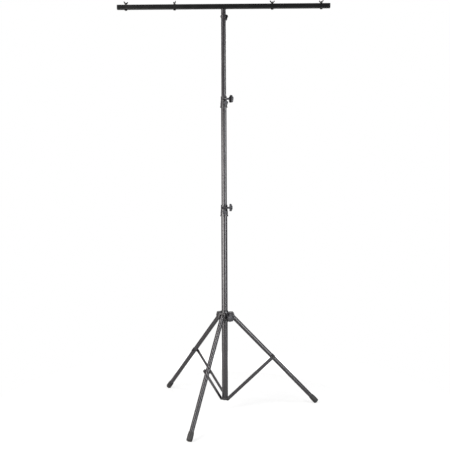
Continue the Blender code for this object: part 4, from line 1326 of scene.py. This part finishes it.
def strap_shape(number, width, brace_side):
    """A strap with its seat, whose top is at brace_side, measured from the leg's plane."""
    hinge = brace_fold_in_leg(number)
    face = leg_r + FIT + STRAP_THICKNESS
    middle_r = leg_r + FIT + STRAP_THICKNESS / 2
    strap = new_object("strap_shape", loft(strap_rings(hinge, width, middle_r)))
    hole = MOVE_TO(hinge) @ CROSSWAYS
    foot = STRAP_SEAT_R + STRAP_SEAT_FLARE
    brace_seat = turned_solid([
        (ON_AXIS, middle_r, 0.0),
        (foot, middle_r, 0.0),
        (foot, face, 0.0),
        (STRAP_SEAT_R, face + STRAP_SEAT_FLARE, STRAP_SEAT_FLARE / 2),
        (STRAP_SEAT_R, brace_side, STRAP_EDGE),
        (ON_AXIS, brace_side, 0.0),
    ])
    add(strap, brace_seat, hole)
    return cut(strap, rod(BOLT_HOLE_R, -3 * middle_r, 3 * middle_r), hole)


for number, place in LEG_SEATS.items():
    node = "leg_strap_%d" % number
    low, high = measure_in(node, place)[:2]
    brace_side = measure_in(node, place, -ASIDE)[1]
    stand_for(node, strap_shape(number, high - low, brace_side), "polyester_powder_coat", place)
print("strap width:", round((high - low) * 1000, 1), "mm")

# %% [markdown]
# ## Bolt and nut of each strap
# An M6 bolt is the hinge between leg and brace. Under its head and nut, each is turned to a round
# washer face, so that the corners don't dig in. Only the end beyond the nut shows its thread.
# %% Strap bolts and nuts
STRAP_BOLT_R = 0.003
SMALL_ACROSS = 0.010
WASHER_FACE = 0.0003
WASHER_WIDTH = 0.96         # of the washer face, in widths across the flats
THREADED_END = 0.010


def bolt_shape(shank_r, pitch, across, head_low, head_high, end, thread_length):
    """A hexagon bolt: its head from head_low to head_high, and its shank up to end. All along +Z."""
    head = new_object("bolt_shape", hexagon(across, head_low, head_high - WASHER_FACE, True, False))
    add(head, rod(across / 2 * WASHER_WIDTH, head_high - 2 * WASHER_FACE, head_high))
    threads = thread_profile(shank_r, pitch, end - thread_length, end, False, chamfer_high=True)
    shank = [(shank_r, head_low + (head_high - head_low) / 2), (shank_r, end - thread_length)]
    return add(head, lathe(shank + threads, SMALL_SIDES, threaded(shank_r, pitch)))


for number, place in LEG_SEATS.items():
    hinge = joint_line("brace_fold_%d" % number)[0]
    sideways = place.to_3x3() @ ASIDE
    bolt, nut = "strap_bolt_%d" % number, "strap_nut_%d" % number
    on_hinge = seat(hinge, sideways, UP)
    head_top, end = measure(bolt, hinge, sideways)[:2]
    under_head = -measure("brace_%d" % number, hinge, -sideways)[1] - FIT
    shape = bolt_shape(STRAP_BOLT_R, M6_PITCH, SMALL_ACROSS, head_top, under_head, end, THREADED_END)
    stand_for(bolt, shape, "black_oxide_steel", on_hinge)
    low, high = measure(nut, hinge, sideways)[:2]
    stand_for(nut, nut_shape(SMALL_ACROSS, low, high, BOLT_HOLE_R), "black_oxide_steel", on_hinge)
print("bolt head to bolt end:", round((end - head_top) * 1000, 1), "mm")

# %% [markdown]
# ## Braces
# The braces are flat steel bars with round ends, one beside each leg. A cutter leaves flat bar with a
# small round along its edges, which catches a thin line of light, and the paint gathers there. The bar
# is a loft: the same outline four times, pulled in a little near each face.
# %% Flat bars
BRACE_EDGE = 0.0004
ROUND_STEPS = 40


def brace_shape(length, half_depth, near, far):
    """A flat bar that hangs down -Z from its upper pivot, between near and far along -Y."""
    rings = []
    faces = ((near, BRACE_EDGE), (near + BRACE_EDGE, 0.0), (far - BRACE_EDGE, 0.0), (far, BRACE_EDGE))
    for distance, inset in faces:
        radius = half_depth - inset
        outline = arc((0.0, 0.0), radius, 0, 180, ROUND_STEPS)
        outline += arc((0.0, -length), radius, 180, 360, ROUND_STEPS)
        rings.append([(x, -distance, z) for x, z in outline])
    bar = new_object("brace_shape", loft(rings))
    for end in (0.0, -length):
        cut(bar, rod(BOLT_HOLE_R, -2 * far, 2 * far), MOVE_TO(UP * end) @ CROSSWAYS)
    return bar


def lower_pivot(number):
    """The brace's lower pivot, brought into the plane of its leg as the upper one is."""
    pin = middle("brace_pin_%d" % number)
    sideways = joint_line("brace_fold_%d" % number)[1]
    return pin - sideways * pin.dot(sideways)


for number in LEGS:
    node = "brace_%d" % number
    hinge, sideways = joint_line("brace_fold_%d" % number)
    foot = lower_pivot(number)
    along = (hinge - foot).normalized()
    half_depth = measure(node, hinge, along)[1]
    far, near = measure(node, hinge, sideways)[:2]
    shape = brace_shape((hinge - foot).length, half_depth, -near, -far)
    stand_for(node, shape, "polyester_powder_coat", seat(hinge, along, sideways.cross(along)))
print("brace, pivot to pivot:", round((hinge - foot).length * 1000, 1), "mm")

# %% [markdown]
# ## Foot casting and its pins
# The lower ends of the braces meet at a small casting under the base tube. It has a round boss for each
# brace, with a notch in it: the brace's headed pin rests in the notch from below when the tripod is open.
# %% Foot casting
CASTING_CORNER = 0.002
CASTING_BOSS_R = 0.008
NOTCH_PLAY = 0.0005
NOTCH_STEPS = 16
PIN_R = 0.003
PIN_MOUTH = 0.0015
FOOT_GRAIN = 0.0005


def foot_casting():
    pin = lower_pivot(1)
    sideways = joint_line("brace_fold_1")[1]
    pin_inner = -measure("brace_pin_1", ORIGIN, sideways)[1]
    boss_end = -measure("foot_casting", ORIGIN, sideways)[0]
    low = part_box("foot_casting")[0].z
    tube_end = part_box("base_tube")[0].z
    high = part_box("foot_casting")[1].z
    spigot = base_tube_r - TUBE_WALL - FIT
    casting = new_object("foot_shape", turned_solid([
        (ON_AXIS, low, 0.0),
        (base_tube_r, low, CASTING_CORNER),
        (base_tube_r, tube_end - FIT, CAST_CORNER),
        (spigot, tube_end - FIT, 0.0),
        (spigot, high, CAST_CORNER),
        (ON_AXIS, high, 0.0),
    ], TURN_SIDES))
    hole = PIN_R + FIT
    mouth = pin.x - hole - PIN_MOUTH
    notch = arc((pin.x, pin.z), hole, 0, 180, NOTCH_STEPS)
    notch += [(mouth, pin.z - PIN_MOUTH), (mouth, 0.0), (pin.x + hole, 0.0)]
    notch_half = boss_end - pin_inner + NOTCH_PLAY
    notch_place = MOVE_TO((0.0, NOTCH_PLAY - pin_inner - notch_half, 0.0))
    for index in range(len(LEGS)):
        turn = step_round(index, len(LEGS))
        boss = turned_solid([
            (ON_AXIS, pin_inner, 0.0),
            (CASTING_BOSS_R, pin_inner, 0.0),
            (CASTING_BOSS_R, boss_end, CAST_CORNER),
            (ON_AXIS, boss_end, 0.0),
        ])
        add(casting, boss, turn @ MOVE_TO((pin.x, 0.0, pin.z)) @ CROSSWAYS)
        cut(casting, plate(notch, notch_half), turn @ notch_place)
    cast(casting, FOOT_GRAIN, passes=4)
    stand_for("foot_casting", casting, "powder_coated_die_casting")


def brace_pin(number):
    foot, sideways = lower_pivot(number), joint_line("brace_fold_%d" % number)[1]
    inner, outer, head_r = measure("brace_pin_%d" % number, foot, -sideways)
    under_head = measure("brace_%d" % number, foot, -sideways)[1] + FIT
    profile = [(ON_AXIS, inner), (PIN_R - FIT, inner), (PIN_R, inner + FIT), (PIN_R, under_head)]
    profile += domed_head(head_r, under_head, outer)
    shape = lathe(profile, SMALL_SIDES)
    stand_for("brace_pin_%d" % number, shape, "black_oxide_steel", seat(foot, -sideways, UP))


foot_casting()
print("faces in the foot casting:", len(PIECES[-1].data.polygons))
for number in LEGS:
    brace_pin(number)

# %% [markdown]
# ## Crossbar
# The bar is 25 mm square tube with rounded corners. It is lofted from four rings, outside and inside at
# each end, and drilled for four bolts. Its own seat has +X along the bar: the frame gives it as the line
# from the first wing nut to the last.
# %% Square tube
BAR_CORNER = 0.0025
BAR_INNER_CORNER = 0.0010
BAR_WALL = 0.0015
SQUARE_STEPS = 6
BOLTS = (1, 2, 3, 4)

bolt_places = [joint_line("wing_nut_turn_%d" % number)[0] for number in BOLTS]
bar_along = (bolt_places[-1] - bolt_places[0]).normalized()
bar_low, bar_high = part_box("crossbar")
bar_size = bar_high.z - bar_low.z
bar_place = seat(UP * ((bar_low.z + bar_high.z) / 2), UP, bar_along)
bar_end = measure("crossbar", bar_place.translation, bar_along)[1]


def square_ring(x, size, corner):
    """A square with rounded corners, across the bar at x."""
    half = size / 2 - corner
    points = []
    for index, (side_y, side_z) in enumerate(((1, 1), (-1, 1), (-1, -1), (1, -1))):
        points += arc((side_y * half, side_z * half), corner, 90 * index, 90 * index + 90, SQUARE_STEPS)
    return [(x, y, z) for y, z in points]


def crossbar():
    inside = bar_size - 2 * BAR_WALL
    bar = new_object("bar_shape", loft([
        square_ring(-bar_end, bar_size, BAR_CORNER),
        square_ring(bar_end, bar_size, BAR_CORNER),
        square_ring(bar_end, inside, BAR_INNER_CORNER),
        square_ring(-bar_end, inside, BAR_INNER_CORNER),
    ], closed=True))
    for bolt_place in bolt_places:
        bolt = bar_place.inverted() @ bolt_place
        cut(bar, rod(KNOB_HOLE_R, -bar_size, bar_size), MOVE_TO((bolt.x, 0.0, 0.0)))
    stand_for("crossbar", bar, "satin_black_enamel", bar_place)


crossbar()
print("bar without its caps:", round(2 * bar_end * 1000, 1), "mm long")

# %% [markdown]
# ## End caps
# A nylon cap closes each end of the bar. Its face is slightly crowned and its rim rounded over, drawn as
# a stack of ever smaller rounded squares, and its plug is tapered at the tip so that it finds the tube.
# %% End caps
CAP_EDGE = 0.0016
CAP_STEPS = 6
BAR_CAP_PLUG = 0.012
BAR_CAP_PLAY = 0.0003


def end_cap(number, side):
    node = "bar_end_cap_%d" % number
    far = measure(node, bar_place.translation, side * bar_along)[1]
    face = bar_end + FIT
    plug = bar_size - 2 * BAR_WALL - 2 * BAR_CAP_PLAY
    rings = [
        square_ring(bar_end - BAR_CAP_PLUG, plug - 2 * CAP_EDGE, BAR_INNER_CORNER),
        square_ring(bar_end - BAR_CAP_PLUG + CAP_EDGE, plug, BAR_INNER_CORNER),
        square_ring(face, plug, BAR_INNER_CORNER),
        square_ring(face, bar_size, BAR_CORNER),
    ]
    for step in range(CAP_STEPS + 1):
        turn = math.pi / 2 * step / CAP_STEPS
        inset = CAP_EDGE * (1.0 - math.cos(turn))
        x = far - CAP_EDGE + CAP_EDGE * math.sin(turn)
        rings.append(square_ring(x, bar_size - 2 * inset, BAR_CORNER))
    half_turns = 0 if side > 0 else 1
    stand_for(node, loft(rings), "moulded_nylon", bar_place @ step_round(half_turns, 2))
    return far - face


end_cap(1, -1.0)
cap_face = end_cap(2, 1.0)
print("a cap stands", round(cap_face * 1000, 1), "mm out of the bar")

# %% [markdown]
# ## Spigot and its weld
# Under its middle the bar has a round spigot that stands in the top tube. It is welded on over a flange,
# with a bead along both sides of the bar where the flange sticks out from under it.
# %% Spigot
SPIGOT_WALL = 0.002
SPIGOT_FLANGE = 0.003
SPIGOT_EDGE = 0.0005
spigot_low, spigot_high, flange_r = measure("bar_spigot")
spigot_r = top_tube_r - TUBE_WALL - FIT
spigot_bore = spigot_r - SPIGOT_WALL
flange_low = spigot_high - SPIGOT_FLANGE
stand_for("bar_spigot", turned_ring([
    (spigot_bore, spigot_low, SPIGOT_EDGE),
    (spigot_r, spigot_low, SPIGOT_EDGE),
    (spigot_r, flange_low, 0.0),
    (flange_r, flange_low, SPIGOT_EDGE),
    (flange_r, spigot_high, SPIGOT_EDGE),
    (spigot_bore, spigot_high, 0.0),
]), "satin_black_enamel")

bead_half = math.sqrt(flange_r ** 2 - (bar_size / 2) ** 2) - BEAD_RADIUS / 2
for number, side in ((1, -1.0), (2, 1.0)):
    seam = []
    for step in range(SEAM_STEPS // 2 + 1):
        x = bead_half * (4.0 * step / SEAM_STEPS - 1.0)
        seam.append(bar_place @ Vector((x, side * bar_size / 2, -bar_size / 2)))
    weld = new_object("spigot_weld_%d" % number, weld_shape(seam, closed=False))
    fit(weld, "bar", "satin_black_enamel")
print("spigot in the top tube:", round((flange_low - spigot_low) * 1000), "mm")

# %% [markdown]
# ## Bolts for the lights
# Each light hangs from an M8 bolt that comes up through the bar: the hexagon head is below, and the
# wing nut above clamps it. The thread shows over the wing nut's hub.
# %% Light bolts
LIGHT_BOLT_ACROSS = 0.013
LIGHT_BOLT_THREAD = 0.018
for number, bolt_place in zip(BOLTS, bolt_places):
    node = "light_bolt_%d" % number
    below = Vector((bolt_place.x, bolt_place.y, 0.0))
    low, high = measure(node, below)[:2]
    shape = bolt_shape(STUD_R, M8_PITCH, LIGHT_BOLT_ACROSS, low, bar_low.z - FIT, high, LIGHT_BOLT_THREAD)
    stand_for(node, shape, "black_oxide_steel", MOVE_TO(below))
print("light bolt:", round((high - low) * 1000, 1), "mm over all")

# %% [markdown]
# ## Wing nuts
# A wing nut is cast or forged: a flange, a tapered hub and two wings that spread like a V, each thinner
# at its tip. The wings' direction is read from the solid: it is the line from the axis to the vertex
# that lies furthest out. The remesh gives the soft forged look, and the bore is drilled afterwards.
# %% Wing nuts
WING_FLANGE_R = 0.0085
WING_FLANGE = 0.0016
WING_HUB_R = 0.006
WING_HUB_HEIGHT = 0.007
WING_ROOT = 0.0005          # a wing starts this near to the axis, inside the hub
WING_ROOT_HALF = 0.0017
WING_TIP_HALF = 0.0012
WING_TIP_WIDTH = 0.005
WING_GRAIN = 0.00035


def wing_nut(number, bolt_place):
    node = "wing_nut_%d" % number
    low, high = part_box(node)
    foot = Vector((bolt_place.x, bolt_place.y, low.z))
    tip = max((vert.co - foot for vert in frame["nodes"][node].data.vertices),
              key=lambda offset: Vector((offset.x, offset.y)).length)
    place = seat(foot, UP, Vector((tip.x, tip.y, 0.0)))
    reach = measure_in(node, place, AHEAD)[1]
    height = high.z - low.z
    hub_top = WING_FLANGE + WING_HUB_HEIGHT
    neck = WING_HUB_R - WING_FLANGE
    nut = new_object("wing_shape", turned_solid([
        (ON_AXIS, 0.0, 0.0),
        (WING_FLANGE_R, 0.0, FIT),
        (WING_FLANGE_R, WING_FLANGE, 2 * FIT),
        (WING_HUB_R, WING_FLANGE + FIT, 2 * FIT),
        (neck, hub_top, 2 * FIT),
        (ON_AXIS, hub_top, 0.0),
    ]))
    wing = eased([
        (WING_ROOT, 2 * WING_FLANGE, 0.0),
        (WING_HUB_R, 2 * WING_FLANGE, WING_FLANGE),
        (reach, height - WING_TIP_WIDTH, WING_TIP_WIDTH / 2),
        (reach, height, WING_TIP_WIDTH / 2),
        (reach - WING_TIP_WIDTH, height, WING_TIP_WIDTH / 2),
        (neck, hub_top, 2 * WING_FLANGE),
        (WING_ROOT, hub_top - FIT, 0.0),
    ])
    for index in range(2):
        blade = plate(wing, 1.0)
        for vert in blade.verts:
            part = min(1.0, vert.co.x / reach)
            vert.co.y *= WING_ROOT_HALF + (WING_TIP_HALF - WING_ROOT_HALF) * part
        add(nut, blade, step_round(index, 2))
    cast(nut, WING_GRAIN, passes=3)
    cut(nut, rod(KNOB_HOLE_R, -height, 2 * height))
    stand_for(node, nut, "black_oxide_steel", place)


for number, bolt_place in zip(BOLTS, bolt_places):
    wing_nut(number, bolt_place)
print("pieces so far:", len(PIECES))

# %% [markdown]
# ## Check that nothing plain is left
# Every solid of the frame should now be hidden behind a finished piece. A short check is worth its few
# lines, because a forgotten solid would only show in a close-up.
# %% List what is still plain
finished = {obj.name for obj in PIECES}
plain = sorted(node for node in frame["nodes"] if "finished_" + node not in finished)
print("solids without a finished piece:", plain)

# %% [markdown]
# ## Floor and studio
# The stand is shown as in a catalogue, on a white floor that runs into a white backdrop. The white comes
# from what the camera and mirrors see, not from more light: rays that go straight to the camera, or by
# way of a reflection, meet a plain white, and all others meet a dim fill. The floor stays a matte floor
# underneath, so the feet keep their soft shadows. High up, a studio is dark, so polished things mirror a
# ceiling that is dimmer than the backdrop.
# %% Floor
CAMERA_PLACE = Vector((-0.7395, -3.9019, 1.3203))
STUDIO_SIDES = 0.10         # brightness of the studio beside the white paper, as a mirror sees it
FLOOR_SIZE = 40.0
FLOOR_SHADE = "#a8a8a8"
FLOOR_WHITE = 0.20          # share of plain white in what the camera sees of the floor at the feet
FLOOR_LIT = 0.41            # how bright the matte floor is by itself, where no shadow falls
SHADOWS_TO = 0.80           # how far from the mast the floor still shows a shadow
ALL_WHITE_FROM = 1.40       # and from where it is all plain white
PAPER_HALF_WIDTH = 1.0      # the white paper under the stand, to each side of the mast
PAPER_EDGE = 0.5            # how softly its mirror image ends
PAPER_MIRRORED = 0.20       # the paper lies flat under upright lights, so a mirror sees it dimmer


def seen_directly(tree):
    """1 for rays that the camera sends, or that a mirror or glass passes on, and 0 for all others."""
    rays = add_node(tree, "ShaderNodeLightPath").outputs
    mirrored = add_node(tree, "ShaderNodeMath", {0: rays["Is Glossy Ray"], 1: rays["Is Transmission Ray"]},
                        operation="ADD", use_clamp=True).outputs[0]
    return rays["Is Camera Ray"], mirrored


def white_floor():
    half = FLOOR_SIZE / 2
    corners = ((-half, -half), (half, -half), (half, half), (-half, half))
    bm = bmesh.new()
    bm.faces.new([bm.verts.new((x, y, 0.0)) for x, y in corners])
    floor = new_object("floor", bm)
    material = bpy.data.materials.new("painted_studio_floor")
    material.use_nodes = True
    tree = material.node_tree
    tree.nodes.clear()
    camera_ray, mirrored = seen_directly(tree)
    point = add_node(tree, "ShaderNodeTexCoord").outputs["Object"]
    sideways = UP.cross(outward(CAMERA_PLACE))
    aside = add_node(tree, "ShaderNodeVectorMath", {0: point, 1: sideways}, operation="DOT_PRODUCT")
    distance = add_node(tree, "ShaderNodeMath", {0: aside.outputs["Value"]}, operation="ABSOLUTE")
    paper = add_node(tree, "ShaderNodeMapRange", {
        "Value": distance.outputs[0],
        "From Min": PAPER_HALF_WIDTH,
        "From Max": PAPER_HALF_WIDTH + PAPER_EDGE,
        "To Min": PAPER_MIRRORED,
        "To Max": STUDIO_SIDES,
    }).outputs["Result"]
    mirror_image = add_node(tree, "ShaderNodeMath", {0: mirrored, 1: paper}, operation="MULTIPLY")
    either = add_node(tree, "ShaderNodeMath", {0: camera_ray, 1: mirror_image.outputs[0]},
                      operation="ADD", use_clamp=True)
    radius = add_node(tree, "ShaderNodeVectorMath", {0: point}, operation="LENGTH").outputs["Value"]
    # The matte share comes out darker than white, and the plain white makes up for it
    level_at_feet = (1.0 - (1.0 - FLOOR_WHITE) * FLOOR_LIT) / FLOOR_WHITE
    plain, level = [add_node(tree, "ShaderNodeMapRange", {
        "Value": radius,
        "From Min": SHADOWS_TO,
        "From Max": ALL_WHITE_FROM,
        "To Min": at_feet,
        "To Max": 1.0,
    }).outputs["Result"] for at_feet in (FLOOR_WHITE, level_at_feet)]
    share = add_node(tree, "ShaderNodeMath", {0: either.outputs[0], 1: plain}, operation="MULTIPLY")
    matte = add_node(tree, "ShaderNodeBsdfDiffuse", {"Color": srgb(FLOOR_SHADE)})
    white = add_node(tree, "ShaderNodeEmission", {"Strength": level})
    shaders = {0: share.outputs[0], 1: matte.outputs[0], 2: white.outputs[0]}
    both = add_node(tree, "ShaderNodeMixShader", shaders)
    add_node(tree, "ShaderNodeOutputMaterial", {"Surface": both.outputs[0]})
    floor.data.materials.append(material)


white_floor()

# %% World
FILL = 0.22                 # strength of the light that comes from all round
BACKDROP_FROM = math.cos(math.radians(22.0))    # the white backdrop ends softly to both sides
BACKDROP_TO = math.cos(math.radians(10.0))
CEILING = 0.12
CEILING_FROM = math.sin(math.radians(4.0))
CEILING_TO = math.sin(math.radians(12.0))


def studio_world():
    world = bpy.data.worlds.new("studio")
    bpy.context.scene.world = world
    world.use_nodes = True
    tree = world.node_tree
    tree.nodes.clear()
    camera_ray, mirrored = seen_directly(tree)
    direction = add_node(tree, "ShaderNodeTexCoord").outputs["Generated"]
    height = add_node(tree, "ShaderNodeSeparateXYZ", {"Vector": direction}).outputs["Z"]
    behind = add_node(tree, "ShaderNodeVectorMath", {0: direction, 1: -outward(CAMERA_PLACE)},
                      operation="DOT_PRODUCT")
    walls = add_node(tree, "ShaderNodeMapRange", {
        "Value": behind.outputs["Value"],
        "From Min": BACKDROP_FROM,
        "From Max": BACKDROP_TO,
        "To Min": STUDIO_SIDES,
        "To Max": 1.0,
    }).outputs["Result"]
    backdrop = add_node(tree, "ShaderNodeMapRange", {
        "Value": height,
        "From Min": CEILING_FROM,
        "From Max": CEILING_TO,
        "To Min": walls,
        "To Max": CEILING,
    }).outputs["Result"]
    reflected = add_node(tree, "ShaderNodeMix", {0: mirrored, 2: FILL, 3: backdrop}).outputs[0]
    strength = add_node(tree, "ShaderNodeMix", {0: camera_ray, 2: reflected, 3: 1.0}).outputs[0]
    background = add_node(tree, "ShaderNodeBackground", {"Color": srgb("#ffffff"), "Strength": strength})
    add_node(tree, "ShaderNodeOutputWorld", {"Surface": background.outputs[0]})


studio_world()

# %% [markdown]
# ## Softboxes
# Two big softboxes stand left and right of the camera, and each draws a bright streak down every round
# tube. The wider one on the left draws the broader streak.
#
# The leg in front leans towards the camera and mirrors what is high up, so two more hang overhead for
# it, and they also draw the edges of the castings. A last one keeps the stand's other side from going
# dead when it is looked at from there. It hangs high, because every rim mirrors what is straight behind
# it, and a lamp there would eat the edges of the tubes. A lamp's power is its radiance times pi times
# its area, so a bigger box of the same radiance lights more but mirrors just as bright.
# %% Softboxes
SOFTBOXES = {
    # name: degrees to the right of the camera, degrees up, from a height, distance, width, length,
    # radiance, tint
    "left_softbox": (-48.0, 0.0, 0.97, 2.4, 2.20, 1.64, 7.0, (1.0, 0.972, 0.945)),
    "right_softbox": (47.0, 0.0, 0.97, 2.4, 1.00, 1.64, 7.4, (0.96, 0.98, 1.0)),
    "left_overhead_softbox": (-60.0, 62.0, 0.25, 3.6, 0.70, 1.95, 11.0, (1.0, 0.975, 0.955)),
    "right_overhead_softbox": (66.0, 42.0, 0.25, 2.6, 0.50, 1.10, 11.0, (0.96, 0.98, 1.0)),
    "rear_softbox": (180.0, 45.0, 0.80, 2.8, 1.60, 1.20, 3.6, (1.0, 1.0, 1.0)),
}


def softbox(name, turn, elevation, height, distance, width, length, radiance, tint):
    level = Matrix.Rotation(math.radians(turn), 3, "Z") @ outward(CAMERA_PLACE)
    towards = level * math.cos(math.radians(elevation)) + UP * math.sin(math.radians(elevation))
    lamp = bpy.data.lights.new(name, "AREA")
    lamp.shape = "RECTANGLE"
    lamp.size = width
    lamp.size_y = length
    lamp.energy = radiance * math.pi * width * length
    lamp.color = tint
    obj = bpy.data.objects.new(name, lamp)
    obj.visible_camera = False
    bpy.context.scene.collection.objects.link(obj)
    # A lamp shines along its own -Z, so its +Z points away from the mast
    obj.matrix_world = seat(UP * height + towards * distance, towards, UP.cross(level))
    return obj


for name, settings in SOFTBOXES.items():
    lamp = softbox(name, *settings)
    print(name, "power:", round(lamp.data.energy, 1), "W")

# %% [markdown]
# ## Camera
# The camera stands where the photographer stood: about chest height, four metres off, looking very
# slightly down, with the whole stand filling the frame from top to bottom.
# %% Camera
LENS = 55.45                # millimetres, on a sensor 36 mm wide
SENSOR = 36.0
PITCH = 86.44               # degrees up from looking straight down
ROLL = 0.24                 # the camera leans a little to the right
HEADING = -10.805           # degrees from looking along +Y

camera = bpy.data.objects.new("camera", bpy.data.cameras.new("camera"))
camera.data.lens = LENS
camera.data.sensor_width = SENSOR
camera.location = CAMERA_PLACE
camera.rotation_euler = (math.radians(PITCH), math.radians(ROLL), math.radians(HEADING))
bpy.context.scene.collection.objects.link(camera)
bpy.context.scene.camera = camera
bpy.context.scene.view_settings.view_transform = "Standard"
